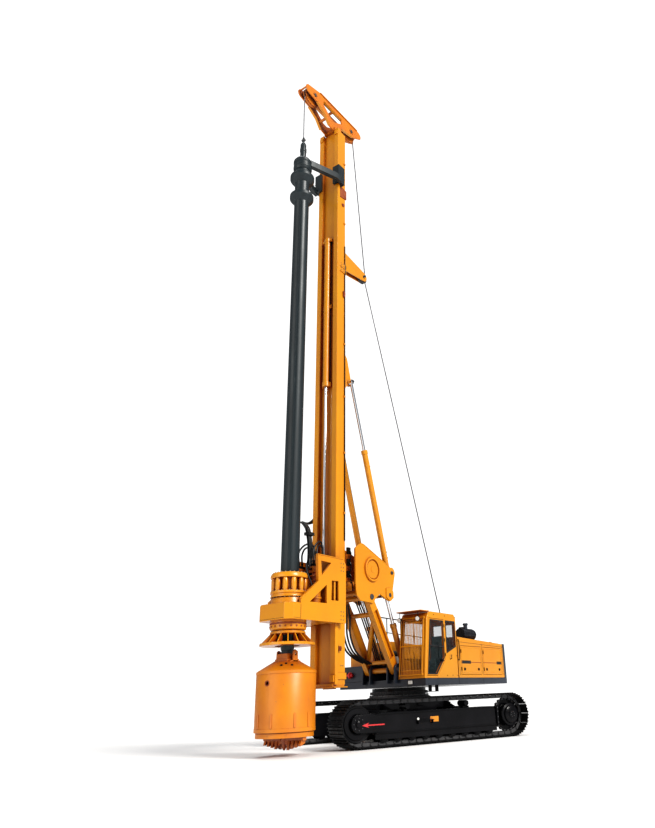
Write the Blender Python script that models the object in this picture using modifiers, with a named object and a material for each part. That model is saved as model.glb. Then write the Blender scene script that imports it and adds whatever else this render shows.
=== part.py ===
"""A rotary piling rig: crawler undercarriage, slewing upper, boom, mast, kelly bar and drilling bucket.

Units are metres. X runs forward from the cab to the kelly bar, Y to the rig's left and Z up.
Every place below is first given from the slewing axis at ground level, and the empty "rig" then
moves the whole machine so that the origin is under the middle of its outline.
"""

import math

import bmesh
import bpy
from mathutils import Matrix, Vector

# ---------------------------------------------------------------- driving dimensions
FIT = 0.0003  # gap between pieces that touch
RUN = 0.010  # gap between pieces that move past each other

# Undercarriage, along its own travel direction, which the slewed upper leaves behind
SLEW_AT_REST = math.radians(23.5)
TRACK_CENTRE = 1.80  # from the slewing axis to the middle of a track
SHOE_WIDTH = 0.80
AXLE = 2.42  # idler and sprocket axles, ahead of and behind the slewing axis
TRACK_RADIUS = 0.565  # outside of the shoes round an end
SHOE_ROOT = 0.535
CHAIN_RADIUS = 0.430  # inside of the chain round an end
SHOES = 56
AXLE_Z = TRACK_RADIUS

# Upper structure
DECK_LOW = 1.41
DECK_TOP = 1.59
DECK_REAR = -3.94
DECK_FRONT = 0.86
HALF_WIDTH = 1.50
TAIL = -4.31
HOUSE_INNER = 0.62  # the side houses and cab leave a bay as wide as this on each side of the middle
HOUSE_FRONT = -0.97
HOUSE_TOP_FRONT = 2.74
HOUSE_TOP_REAR = 2.63
CAB_REAR = -0.92
CAB_FRONT = 0.88
CAB_TOP = 3.38
CAB_INNER = 0.61
CAB_RAKE = 0.131  # how far the windscreen leans back for each metre of height
CAB_WALL = 0.05
CHEEK = (0.28, 0.32, 0.54, 0.58)  # the deck's four fore-and-aft cheek plates
PAIR = 0.43  # boom arms and cylinders, from the middle plane

# Front linkage
BOOM_FOOT = (0.83, 1.85)
BOOM_TOP = (2.00, 3.75)
LUFF_FOOT = (0.30, 1.85)
LUFF_EYE = (1.15, 3.87)
MAST_PIVOT = (1.98, 4.50)
MAST_FOOT_EYE = (1.02, 4.52)  # lower eyes of the mast cylinders, on the bracket
MAST_HEAD_EYE = (2.70, 10.15)  # upper eyes, behind the mast

# Mast
MAST_REAR = 2.90
MAST_WEB = 3.25
MAST_FRONT = 3.36
MAST_HALF = 0.36
RAIL_OUT = 0.42
RAIL_IN = 0.25
MAST_LOW = 1.50
MAST_JOINT = 14.20
MAST_TOP = 20.00

# Drill string
KELLY_X = 4.64
KELLY_RADIUS = 0.230
SLEEVE_BORE = 0.262
BUCKET_RADIUS = 0.70
ORIGIN_X = (KELLY_X + BUCKET_RADIUS + TAIL) / 2

PARTS = "piling_rig"
HELPERS = "cutters"

# ---------------------------------------------------------------- materials
COLOURS = {
    "yellow": ((0.86, 0.36, 0.02), 0.38, 0.0),
    "dark_grey": ((0.045, 0.055, 0.065), 0.45, 0.1),
    "black_steel": ((0.018, 0.018, 0.020), 0.55, 0.3),
    "kelly_grey": ((0.050, 0.062, 0.072), 0.42, 0.2),
    "chrome": ((0.80, 0.81, 0.83), 0.12, 1.0),
    "cast": ((0.10, 0.10, 0.11), 0.60, 0.6),
    "glass": ((0.06, 0.08, 0.08), 0.05, 0.0),
    "seat": ((0.03, 0.03, 0.035), 0.80, 0.0),
}


def material(name):
    made = bpy.data.materials.get(name)
    if made is None:
        colour, roughness, metallic = COLOURS[name]
        made = bpy.data.materials.new(name)
        made.use_nodes = True
        shader = made.node_tree.nodes["Principled BSDF"]
        shader.inputs["Base Color"].default_value = (*colour, 1.0)
        shader.inputs["Roughness"].default_value = roughness
        shader.inputs["Metallic"].default_value = metallic
        made.diffuse_color = (*colour, 1.0)
    return made


# ---------------------------------------------------------------- scene and joints
def clear_scene():
    for obj in list(bpy.data.objects):
        bpy.data.objects.remove(obj, do_unlink=True)
    for name in (PARTS, HELPERS):
        bpy.context.scene.collection.children.link(bpy.data.collections.new(name))


PIVOTS = {}  # each joint's empty, with its place from the slewing axis


def pivot(name, place, parent=None):
    """An empty on a joint's axis, under the empty of the body that carries it."""
    empty = bpy.data.objects.new(name, None)
    empty.empty_display_size = 0.3
    bpy.data.collections[PARTS].objects.link(empty)
    place = Vector(place)
    if parent:
        above, above_place = PIVOTS[parent]
        empty.parent = above
        empty.location = place - above_place
    PIVOTS[name] = (empty, place)
    return empty


def mount(obj, name, parent, colour):
    """Names a finished piece, hangs it on its joint's empty and paints it."""
    empty, place = PIVOTS[parent]
    obj.name = name
    obj.data.name = name
    obj.parent = empty
    obj.location = obj.location - place
    obj.data.materials.clear()
    obj.data.materials.append(material(colour))
    return obj


# ---------------------------------------------------------------- shapes
def link(name, data):
    obj = bpy.data.objects.new(name, data)
    bpy.data.collections[PARTS].objects.link(obj)
    return obj


def from_bmesh(work, location=(0, 0, 0)):
    mesh = bpy.data.meshes.new("piece")
    work.to_mesh(mesh)
    work.free()
    obj = link("piece", mesh)
    obj.location = location
    return obj


def block(low, high):
    """A box between two corners."""
    low, high = Vector(low), Vector(high)
    work = bmesh.new()
    bmesh.ops.create_cube(work, size=1.0, matrix=Matrix.Diagonal((*(high - low), 1.0)))
    return from_bmesh(work, (low + high) / 2)


def bar(start, end, radius, sides=12):
    """A round bar between two points."""
    start, end = Vector(start), Vector(end)
    run = end - start
    work = bmesh.new()
    bmesh.ops.create_cone(
        work, cap_ends=True, segments=sides, radius1=radius, radius2=radius, depth=run.length
    )
    turn = Vector((0, 0, 1)).rotation_difference(run).to_matrix().to_4x4()
    bmesh.ops.transform(work, matrix=turn, verts=work.verts)
    return from_bmesh(work, (start + end) / 2)


def cross_bar(at, radius, half, sides=12, centre=0.0):
    """A round bar across the rig, through the point at, given as (x, z)."""
    x, z = at
    return bar((x, centre - half, z), (x, centre + half, z), radius, sides)


def evaluated(obj):
    """A plain mesh object in place of one with modifiers, or of a curve."""
    graph = bpy.context.evaluated_depsgraph_get()
    mesh = bpy.data.meshes.new_from_object(obj.evaluated_get(graph))
    work = bmesh.new()
    work.from_mesh(mesh)
    bmesh.ops.remove_doubles(work, verts=work.verts, dist=0.00001)
    bmesh.ops.transform(work, matrix=obj.matrix_world, verts=work.verts)
    work.to_mesh(mesh)
    work.free()
    bpy.data.objects.remove(obj, do_unlink=True)
    return link("piece", mesh)


def plate(outline, low, high, holes=(), plane="XZ"):
    """A flat outline with holes, from low to high across its plane."""
    curve = bpy.data.curves.new("outline", "CURVE")
    curve.dimensions = "2D"
    curve.fill_mode = "BOTH"
    curve.extrude = (high - low) / 2
    for points in (outline, *holes):
        spline = curve.splines.new("POLY")
        spline.points.add(len(points) - 1)
        for point, (u, v) in zip(spline.points, points):
            point.co = (u, v, 0, 1)
        spline.use_cyclic_u = True
    obj = link("piece", curve)
    if plane == "XZ":
        obj.rotation_euler = (math.pi / 2, 0, 0)
        obj.location = (0, (low + high) / 2, 0)
    else:
        obj.location = (0, 0, (low + high) / 2)
    bpy.context.view_layer.update()
    return evaluated(obj)


def turned(profile, base, axis=(0, 0, 1), sides=24):
    """A closed profile of (radius, height) turned about an axis through base.

    The profile runs down its outer side and back up its inner side.
    """
    mesh = bpy.data.meshes.new("profile")
    points = [(radius, 0, height) for radius, height in profile]
    count = len(points)
    closed = all(radius > 0 for radius, _ in profile)
    edges = [(i, (i + 1) % count) for i in range(count if closed else count - 1)]
    mesh.from_pydata(points, edges, [])
    obj = link("piece", mesh)
    screw = obj.modifiers.new("turn", "SCREW")
    screw.steps = sides
    screw.render_steps = sides
    screw.use_merge_vertices = True
    screw.merge_threshold = 0.0001
    obj.rotation_mode = "QUATERNION"
    obj.rotation_quaternion = Vector((0, 0, 1)).rotation_difference(Vector(axis))
    obj.location = base
    bpy.context.view_layer.update()
    return evaluated(obj)


def pipe(outer, inner, low, high):
    """The closed profile of a plain tube."""
    return [(outer, high), (outer, low), (inner, low), (inner, high)]


def fuse(*pieces, cut=()):
    """Joins pieces into one body, then cuts the others out of it."""
    base = pieces[0]
    bpy.context.view_layer.update()
    for other, operation in [(p, "UNION") for p in pieces[1:]] + [(c, "DIFFERENCE") for c in cut]:
        modifier = base.modifiers.new(operation.lower(), "BOOLEAN")
        modifier.operation = operation
        modifier.solver = "EXACT"
        modifier.object = other
    bpy.context.view_layer.update()
    made = evaluated(base)
    for helper in (*pieces[1:], *cut):
        bpy.data.objects.remove(helper, do_unlink=True)
    return made


def mirror_y(obj):
    """A second piece, the first one's mirror image across the rig's middle plane."""
    bpy.context.view_layer.update()
    work = bmesh.new()
    work.from_mesh(obj.data)
    bmesh.ops.transform(work, matrix=obj.matrix_world, verts=work.verts)
    bmesh.ops.transform(work, matrix=Matrix.Diagonal((1, -1, 1, 1)), verts=work.verts)
    bmesh.ops.reverse_faces(work, faces=work.faces)
    return from_bmesh(work)


def arc(centre, radius, start, end, steps):
    """Points along an arc, its angles in degrees from +X."""
    points = []
    for step in range(steps + 1):
        angle = math.radians(start + (end - start) * step / steps)
        points.append((centre[0] + radius * math.cos(angle), centre[1] + radius * math.sin(angle)))
    return points


def ring(centre, radius, steps=12):
    return arc(centre, radius, 0, 360 * (steps - 1) / steps, steps - 1)


# ---------------------------------------------------------------- undercarriage
def loop_point(distance, radius):
    """A point along a track's loop, by distance from the rear end of its lower run."""
    straight = 2 * AXLE
    half_turn = math.pi * radius
    distance %= 2 * (straight + half_turn)
    if distance < straight:
        return (-AXLE + distance, AXLE_Z - radius)
    distance -= straight
    if distance < half_turn:
        angle = distance / radius - math.pi / 2
        return (AXLE + radius * math.cos(angle), AXLE_Z + radius * math.sin(angle))
    distance -= half_turn
    if distance < straight:
        return (AXLE - distance, AXLE_Z + radius)
    angle = (distance - straight) / radius + math.pi / 2
    return (-AXLE + radius * math.cos(angle), AXLE_Z + radius * math.sin(angle))


def track():
    """One closed loop of shoes, the grooves between them in its outline."""
    outline = []
    for shoe in range(SHOES):
        for share, radius in ((0.03, SHOE_ROOT), (0.09, TRACK_RADIUS), (0.91, TRACK_RADIUS), (0.97, SHOE_ROOT)):
            length = 4 * AXLE + 2 * math.pi * radius
            outline.append(loop_point(AXLE + (shoe + share) / SHOES * length, radius))
    inner = arc((AXLE, AXLE_Z), CHAIN_RADIUS, -90, 90, 12)
    inner += arc((-AXLE, AXLE_Z), CHAIN_RADIUS, 90, 270, 12)
    low = TRACK_CENTRE - SHOE_WIDTH / 2
    return plate(outline, low, low + SHOE_WIDTH, [inner])


def track_frame():
    """Side frame with its track rollers, carrier rollers and idler yoke."""
    beam = plate(
        [(-1.90, 0.30), (1.90, 0.30), (1.98, 0.40), (1.98, 0.74), (1.80, 0.80), (-1.80, 0.80), (-1.90, 0.72)],
        TRACK_CENTRE - 0.24,
        TRACK_CENTRE + 0.24,
    )
    yoke = [
        plate(
            [(1.84, 0.345), *arc((AXLE, AXLE_Z), 0.21, -80, 80, 8), (1.84, 0.772)],
            TRACK_CENTRE + side - 0.027,
            TRACK_CENTRE + side + 0.027,
        )
        for side in (-0.208, 0.208)
    ]
    roller_z = AXLE_Z - CHAIN_RADIUS + 0.115 + 0.003
    rollers = [
        cross_bar((-1.68 + 0.42 * i, roller_z), 0.115, 0.20, 10, TRACK_CENTRE) for i in range(9)
    ]
    carrier_z = AXLE_Z + CHAIN_RADIUS - 0.075 - 0.003
    carriers = []
    for x in (-0.95, 0.95):
        carriers.append(cross_bar((x, carrier_z), 0.075, 0.17, 10, TRACK_CENTRE))
        carriers.append(block((x - 0.05, TRACK_CENTRE - 0.05, 0.78), (x + 0.05, TRACK_CENTRE + 0.05, carrier_z)))
    return fuse(beam, *yoke, *rollers, *carriers)


def idler():
    """The front wheel, with a raised rim between the chain's links and short axle ends."""
    profile = [
        (0, 0.175), (0.06, 0.175), (0.06, 0.13), (0.28, 0.13), (0.422, 0.16), (0.422, -0.16), (0.28, -0.13),
        (0.06, -0.13), (0.06, -0.175), (0, -0.175),
    ]
    return turned(profile, (AXLE, TRACK_CENTRE, AXLE_Z), (0, 1, 0), 20)


def final_drive():
    """Sprocket disc on its planetary hub, behind the side frame."""
    profile = [
        (0, 0.30), (0.13, 0.30), (0.16, 0.22), (0.27, 0.18), (0.27, 0.045), (0.40, 0.045), (0.40, -0.045),
        (0.33, -0.045), (0.33, -0.10), (0.27, -0.30), (0, -0.30),
    ]
    return turned(profile, (-AXLE, TRACK_CENTRE, AXLE_Z), (0, 1, 0), 20)


def carbody():
    """Centre frame, its cross legs out to the side frames, and the slewing ring's fixed half."""
    side = TRACK_CENTRE - 0.24 - FIT
    legs = [block((x - 0.28, -side, 0.44), (x + 0.28, side, 0.84)) for x in (-1.05, 1.05)]
    core = block((-1.20, -0.80, 0.46), (1.20, 0.80, 1.02))
    pedestal = bar((0, 0, 0.90), (0, 0, 1.20), 0.86, 28)
    slewing_ring = bar((0, 0, 1.15), (0, 0, DECK_LOW - 0.025), 0.78, 28)
    well = bar((0, 0, 0.60), (0, 0, 1.60), 0.50, 24)
    return fuse(core, *legs, pedestal, slewing_ring, cut=[well])


def build_undercarriage():
    for make, name, colour in (
        (track, "track", "black_steel"),
        (track_frame, "track_frame", "black_steel"),
        (idler, "idler", "cast"),
        (final_drive, "final_drive", "black_steel"),
    ):
        left = make()
        right = mirror_y(left)
        mount(left, name + "_left", "undercarriage", colour)
        mount(right, name + "_right", "undercarriage", colour)
    mount(carbody(), "carbody", "undercarriage", "black_steel")


# ---------------------------------------------------------------- upper structure
def main_deck():
    """Base plate with its skirts, the cheek plates of boom and cylinders, and their lower pins."""
    base = block((DECK_REAR, -HALF_WIDTH, DECK_LOW), (DECK_FRONT, HALF_WIDTH, DECK_TOP))
    cheek_outline = [
        (-2.70, 1.50), (1.02, 1.50), *arc(BOOM_FOOT, 0.17, -20, 90, 4),
        (0.30, 2.02), (0.05, 1.95), (-1.20, 1.80), (-2.70, 1.74),
    ]
    foot_bore = ring(BOOM_FOOT, 0.076)
    cheeks = []
    for side in (-1, 1):
        for near, far in (CHEEK[:2], CHEEK[2:]):
            cheeks.append(plate(cheek_outline, *sorted((side * near, side * far)), [foot_bore]))
    swivel_bore = bar((0, 0, 1.0), (0, 0, 2.2), 0.30, 16)
    cylinder_bore = cross_bar(LUFF_FOOT, 0.051, 1.0)
    boom_slot = block((0.74, -CHEEK[0] + 0.02, 1.60), (1.30, CHEEK[0] - 0.02, 2.30))
    return fuse(base, *cheeks, cut=[swivel_bore, cylinder_bore, boom_slot])


def counterweight():
    """Cast tail weight across the full width, round at its rear corners."""
    corner = 0.30
    outline = [
        (DECK_REAR - FIT, HALF_WIDTH),
        *arc((TAIL + corner, HALF_WIDTH - corner), corner, 90, 180, 5),
        *arc((TAIL + corner, corner - HALF_WIDTH), corner, 180, 270, 5),
        (DECK_REAR - FIT, -HALF_WIDTH),
    ]
    return plate(outline, DECK_LOW, HOUSE_TOP_REAR + 0.01, plane="XY")


def house_outline(front, inset):
    slope = (HOUSE_TOP_FRONT - HOUSE_TOP_REAR) / (HOUSE_FRONT - DECK_REAR)
    top = HOUSE_TOP_REAR + slope * (front - DECK_REAR)
    floor = DECK_TOP + FIT if not inset else DECK_TOP - 0.2
    rear = DECK_REAR + 0.01
    return [
        (rear + inset, floor), (front - inset, floor), (front - inset, top - inset),
        (rear + inset, HOUSE_TOP_REAR - inset),
    ]


def house(front, doors):
    """A side house as an open-bottomed shell, for the left side; doors are (front, rear) pairs."""
    shell = plate(house_outline(front, 0), HOUSE_INNER, HALF_WIDTH)
    room = plate(house_outline(front, 0.04), HOUSE_INNER + 0.04, HALF_WIDTH - 0.04)
    openings = [
        block((rear, HALF_WIDTH - 0.10, DOOR_LOW), (ahead, HALF_WIDTH + 0.10, DOOR_HIGH))
        for ahead, rear in doors
    ]
    return fuse(shell, cut=[room, *openings])


DOOR_LOW = 1.68
DOOR_HIGH = 2.50
LEFT_DOORS = ((-1.12, -2.40), (-2.52, -3.80))
RIGHT_DOORS = ((-1.30, -2.70),)
DOOR_GAP = 0.008


def service_door(ahead, rear):
    """A flat door that fills one opening of a side house, hung at its front edge."""
    return block(
        (rear + DOOR_GAP, HALF_WIDTH - 0.038, DOOR_LOW + DOOR_GAP),
        (ahead - DOOR_GAP, HALF_WIDTH - 0.002, DOOR_HIGH - DOOR_GAP),
    )


def cab_face(z):
    """Where the cab's front face stands at a height."""
    return CAB_FRONT - (z - DECK_TOP) * CAB_RAKE


def cab_shell():
    """The cab's frame with its floor and roof, its windows and doorway cut out."""
    low = DECK_TOP + FIT
    wall = CAB_WALL
    outer = plate(
        [
            (CAB_REAR, low), (cab_face(low), low), (cab_face(3.22), 3.22), (cab_face(3.22) - 0.08, 3.34),
            (cab_face(3.22) - 0.20, CAB_TOP), (CAB_REAR + 0.10, CAB_TOP), (CAB_REAR, CAB_TOP - 0.08),
        ],
        CAB_INNER,
        HALF_WIDTH,
    )
    room = plate(
        [
            (CAB_REAR + wall, low + wall), (cab_face(low) - wall, low + wall),
            (cab_face(3.22) - wall, 3.20), (cab_face(3.22) - 0.20, CAB_TOP - wall),
            (CAB_REAR + 0.12, CAB_TOP - wall), (CAB_REAR + wall, CAB_TOP - 0.14),
        ],
        CAB_INNER + wall,
        HALF_WIDTH - wall,
    )
    cutters = [
        room,
        plate(pane_outline(0.10, 0.0), CAB_INNER + 0.09, HALF_WIDTH - 0.09),
        plate(DOORWAY, HALF_WIDTH - 0.12, HALF_WIDTH + 0.10),
        plate(SIDE_WINDOW, HALF_WIDTH - 0.12, HALF_WIDTH + 0.10),
        plate(RIGHT_WINDOW, CAB_INNER - 0.10, CAB_INNER + 0.12),
        block((CAB_REAR - 0.1, REAR_WINDOW[0], REAR_WINDOW[2]), (CAB_REAR + 0.12, REAR_WINDOW[1], REAR_WINDOW[3])),
    ]
    return fuse(outer, cut=cutters)


SCREEN_LOW = 1.80
SCREEN_HIGH = 3.16
DOORWAY = [
    (0.19, 1.655), (cab_face(1.66) - 0.09, 1.655), (cab_face(3.20) - 0.11, 3.20), (-0.24, 3.20), (-0.24, 2.09),
]
DOOR_WINDOW = [
    (0.27, 1.72), (cab_face(1.72) - 0.17, 1.72), (cab_face(3.13) - 0.19, 3.13), (-0.16, 3.13), (-0.16, 2.15),
]
SIDE_WINDOW = [(-0.84, 2.48), (-0.34, 2.30), (-0.34, 3.14), (-0.84, 3.14)]
RIGHT_WINDOW = [(-0.78, 2.10), (cab_face(2.1) - 0.16, 2.10), (cab_face(3.14) - 0.16, 3.14), (-0.78, 3.14)]
REAR_WINDOW = (0.72, 1.39, 2.30, 3.10)  # low and high Y, low and high Z


def pane_outline(half, gap):
    """The windscreen opening, or a pane in it, as a band that leans with the cab's face."""
    ends = (SCREEN_LOW + gap, SCREEN_HIGH - gap)
    back = [(cab_face(z) - 0.025 - half, z) for z in ends]
    front = [(cab_face(z) - 0.025 + half, z) for z in reversed(ends)]
    return back + front


def inset(points, amount):
    """A convex outline shrunk towards its centre, for a pane in its opening."""
    middle = (sum(p[0] for p in points) / len(points), sum(p[1] for p in points) / len(points))
    shrunk = []
    for u, v in points:
        away = Vector((u - middle[0], v - middle[1]))
        away *= 1 - amount / away.length
        shrunk.append((middle[0] + away.x, middle[1] + away.y))
    return shrunk


def cab_door():
    """The door as thick as the wall, with its window cut."""
    outline = inset(DOORWAY, 0.012)
    return plate(outline, HALF_WIDTH - 0.048, HALF_WIDTH - 0.003, [DOOR_WINDOW])


def windscreen_guard():
    """The frame of the grille ahead of the windscreen, held off the cab by four feet."""
    low, high = 1.66, 3.24
    left, right = CAB_INNER + 0.06, HALF_WIDTH - 0.05
    lean = math.atan(CAB_RAKE)
    height = (high - low) / math.cos(lean)
    uprights, rails, bar_width = 2, 3, 0.030
    bars = []
    for i in range(uprights):
        y = left + (right - left - bar_width) * i / (uprights - 1)
        bars.append(block((-0.011, y, 0), (0.011, y + bar_width, height)))
    for i in range(rails):
        z = 0.01 + (height - 0.05) * i / (rails - 1)
        bars.append(block((-0.007, left + 0.002, z), (0.007, right - 0.002, z + bar_width)))
    grille = fuse(*bars)
    turn = Matrix.Rotation(-lean, 4, "Y")
    grille.data.transform(Matrix.Translation((cab_face(low) + 0.058, 0, low)) @ turn)
    feet = []
    for z in (low + 0.035, high - 0.035):
        for y in (left + 0.015, right - 0.015):
            face = cab_face(z - 0.02) + FIT
            feet.append(block((face, y - 0.010, z - 0.02), (face + 0.058, y + 0.010, z + 0.02)))
    return fuse(grille, *feet)


def seat():
    base = block((-0.48, 0.85, DECK_TOP + FIT + CAB_WALL + FIT), (-0.10, 1.25, 1.95))
    cushion = block((-0.60, 0.80, 1.93), (0.00, 1.30, 2.08))
    back = plate([(-0.66, 2.02), (-0.50, 2.02), (-0.62, 2.78), (-0.78, 2.74)], 0.82, 1.28)
    return fuse(base, cushion, back)


def console():
    """Side consoles either side of the seat, joined by the pedal box ahead of it."""
    low = DECK_TOP + FIT + CAB_WALL + FIT
    right = block((-0.50, 0.68, low), (0.30, 0.78, 2.14))
    left = block((-0.50, 1.33, low), (0.02, 1.43, 2.10))
    pedal_box = block((0.20, 0.68, low), (0.42, 1.20, low + 0.12))
    step = block((-0.50, 0.68, low), (-0.59, 1.43, low + 0.10))
    levers = [bar((x, y, 2.05), (x + 0.05, y, 2.32), 0.018, 8) for x, y in ((0.18, 0.73), (-0.08, 1.38))]
    return fuse(step, right, left, pedal_box, *levers)


WINCH = (-3.20, 2.25)
WINCH_HALF = 0.42


def winch_frame():
    """Two side plates on a base, in the bay between the houses."""
    outline = [(-3.68, DECK_TOP + FIT), (-2.72, DECK_TOP + FIT), (-2.86, 2.20), *arc(WINCH, 0.30, 10, 170, 8), (-3.54, 2.20)]
    bore = ring(WINCH, 0.086)
    sides = [plate(outline, *sorted((s * 0.47, s * 0.52)), [bore]) for s in (-1, 1)]
    base = block((-3.68, -0.50, DECK_TOP + FIT), (-2.72, 0.50, DECK_TOP + 0.08))
    return fuse(base, *sides)


def winch_drum():
    """Flanged drum with its shaft ends in the side plates."""
    return turned(
        [
            (0, 0.51), (0.08, 0.51), (0.08, WINCH_HALF + 0.035), (0.46, WINCH_HALF + 0.035), (0.46, WINCH_HALF),
            (0.33, WINCH_HALF), (0.33, -WINCH_HALF), (0.46, -WINCH_HALF), (0.46, -WINCH_HALF - 0.035),
            (0.08, -WINCH_HALF - 0.035), (0.08, -0.51), (0, -0.51),
        ],
        (WINCH[0], 0, WINCH[1]),
        (0, 1, 0),
        24,
    )


def air_cleaner():
    """Round housings on the left house's roof, with their intake stub."""
    drum = bar((-2.95, 0.92, 2.93), (-2.15, 0.92, 2.93), 0.17, 20)
    stub = bar((-2.30, 0.92, 2.90), (-2.30, 0.92, 3.14), 0.10, 16)
    feet = [
        block((x - 0.04, 0.80, 2.735), (x + 0.04, 1.04, 2.86)) for x in (-2.85, -2.25)
    ]
    return fuse(drum, stub, *feet)


def build_upper():
    left_pivots = ("left_front_door_hinge", "left_rear_door_hinge")
    mount(main_deck(), "main_deck", "upper", "dark_grey")
    mount(counterweight(), "counterweight", "upper", "dark_grey")
    mount(house(HOUSE_FRONT, LEFT_DOORS), "left_house", "upper", "yellow")
    mount(mirror_y_new(house(-0.56, RIGHT_DOORS)), "right_house", "upper", "yellow")
    for (ahead, rear), hinge in zip(LEFT_DOORS, left_pivots):
        pivot(hinge, (ahead - DOOR_GAP, HALF_WIDTH + 0.004, 2.1), "upper")
        mount(service_door(ahead, rear), hinge.replace("_hinge", ""), hinge, "yellow")
    ahead, rear = RIGHT_DOORS[0]
    pivot("right_door_hinge", (ahead - DOOR_GAP, -HALF_WIDTH - 0.004, 2.1), "upper")
    mount(mirror_y_new(service_door(ahead, rear)), "right_door", "right_door_hinge", "yellow")
    engine = block((-2.95, -1.34, DECK_TOP + FIT), (-1.35, -0.78, 2.46))
    mount(engine, "engine_block", "upper", "cast")
    tank = block((-0.54, -HALF_WIDTH, DECK_TOP + FIT), (0.38, -HOUSE_INNER, 2.40))
    mount(tank, "fuel_tank", "upper", "yellow")
    locker = block((0.39, -HALF_WIDTH, DECK_TOP + FIT), (DECK_FRONT, -HOUSE_INNER, 2.02))
    mount(locker, "front_locker", "upper", "dark_grey")
    mount(air_cleaner(), "air_cleaner", "upper", "dark_grey")
    mount(winch_frame(), "winch_frame", "upper", "yellow")
    pivot("winch", (WINCH[0], 0, WINCH[1]), "upper")
    mount(winch_drum(), "winch_drum", "winch", "cast")


def mirror_y_new(obj):
    made = mirror_y(obj)
    bpy.data.objects.remove(obj, do_unlink=True)
    return made


def build_cab():
    mount(cab_shell(), "cab_shell", "upper", "yellow")
    pivot("cab_door_hinge", (-0.228, HALF_WIDTH + 0.006, 2.4), "upper")
    mount(cab_door(), "cab_door", "cab_door_hinge", "yellow")
    gap = 0.003
    screen = plate(pane_outline(0.004, gap), CAB_INNER + 0.09 + gap, HALF_WIDTH - 0.09 - gap)
    mount(screen, "windscreen", "upper", "glass")
    outer = (HALF_WIDTH - 0.030, HALF_WIDTH - 0.022)
    mount(plate(inset(DOOR_WINDOW, gap), *outer), "door_window", "cab_door_hinge", "glass")
    mount(plate(inset(SIDE_WINDOW, gap), *outer), "side_window", "upper", "glass")
    right = (CAB_INNER + 0.022, CAB_INNER + 0.030)
    mount(plate(inset(RIGHT_WINDOW, gap), *right), "right_window", "upper", "glass")
    low_y, high_y, low_z, high_z = REAR_WINDOW
    rear = block((CAB_REAR + 0.022, low_y + gap, low_z + gap), (CAB_REAR + 0.030, high_y - gap, high_z - gap))
    mount(rear, "rear_window", "upper", "glass")
    mount(windscreen_guard(), "windscreen_guard", "upper", "black_steel")
    mount(seat(), "operator_seat", "upper", "seat")
    mount(console(), "operator_console", "upper", "dark_grey")


# ---------------------------------------------------------------- front linkage
def along(start, end, distance, across=0.0):
    """A point (x, z) at a distance from start towards end, and offset to the front of that line."""
    start, end = Vector(start), Vector(end)
    way = (end - start).normalized()
    point = start + way * distance + Vector((way.y, -way.x)) * across
    return (point.x, point.y)


ARM_HALF = 0.13
ARM_SIDES = (0.37, 0.52)


def boom_arm():
    """A deep box arm, its outer side recessed between the flanges."""
    length = (Vector(BOOM_TOP) - Vector(BOOM_FOOT)).length

    def on_arm(distance, across):
        return along(BOOM_FOOT, BOOM_TOP, distance, across)

    lean = math.degrees(math.atan2(BOOM_TOP[1] - BOOM_FOOT[1], BOOM_TOP[0] - BOOM_FOOT[0]))
    outline = [
        *arc(BOOM_FOOT, 0.12, lean + 90, lean + 270, 5), on_arm(0.35, ARM_HALF), on_arm(length - 0.45, ARM_HALF),
        *arc(BOOM_TOP, 0.12, lean - 90, lean + 90, 5), on_arm(length - 0.45, -ARM_HALF), on_arm(0.35, -ARM_HALF),
    ]
    body = plate(outline, *ARM_SIDES, [ring(BOOM_TOP, 0.076)])
    pocket_outline = [on_arm(0.38, 0.09), on_arm(length - 0.42, 0.09), on_arm(length - 0.42, -0.09), on_arm(0.38, -0.09)]
    return fuse(body, cut=[plate(pocket_outline, ARM_SIDES[1] - 0.06, ARM_SIDES[1] + 0.1)])


def boom():
    """Two arms joined by the foot shaft, a cross tube and diagonal braces."""
    left = boom_arm()
    right = mirror_y(left)
    shaft = cross_bar(BOOM_FOOT, 0.070, CHEEK[3] + 0.01)
    cross = cross_bar(along(BOOM_FOOT, BOOM_TOP, 1.72), 0.065, 0.39)
    middle = cross_bar(along(BOOM_FOOT, BOOM_TOP, 0.26), 0.055, 0.39)
    top_x, top_z = along(BOOM_FOOT, BOOM_TOP, 1.66)
    low_x, low_z = along(BOOM_FOOT, BOOM_TOP, 0.22)
    brace = bar((top_x, 0.41, top_z), (low_x, -0.41, low_z), 0.065, 12)
    return fuse(left, right, shaft, cross, middle, brace)


def cylinder_barrels(foot, eye, length, outer, bore, shaft_half):
    """A pair of cylinder barrels on one foot shaft, open at their upper ends."""
    way = (Vector(eye) - Vector(foot)).normalized()
    pieces = [cross_bar(foot, 0.045, shaft_half)]
    for side in (-1, 1):
        base = (foot[0], side * PAIR, foot[1])
        barrel = turned(
            [
                (0, length), (outer + 0.012, length), (outer + 0.012, length - 0.10), (outer, length - 0.11),
                (outer, 0.12), (0.05, 0.02), (0, 0.02),
            ],
            base,
            (way.x, 0, way.y),
            14,
        )
        pieces.append(barrel)
        pieces.append(cross_bar(foot, 0.085, 0.055, 12, side * PAIR))
    holes = []
    for side in (-1, 1):
        start = (foot[0] + way.x * 0.20, side * PAIR, foot[1] + way.y * 0.20)
        end = (foot[0] + way.x * (length + 0.1), side * PAIR, foot[1] + way.y * (length + 0.1))
        holes.append(bar(start, end, bore, 12))
    return fuse(*pieces, cut=holes)


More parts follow.
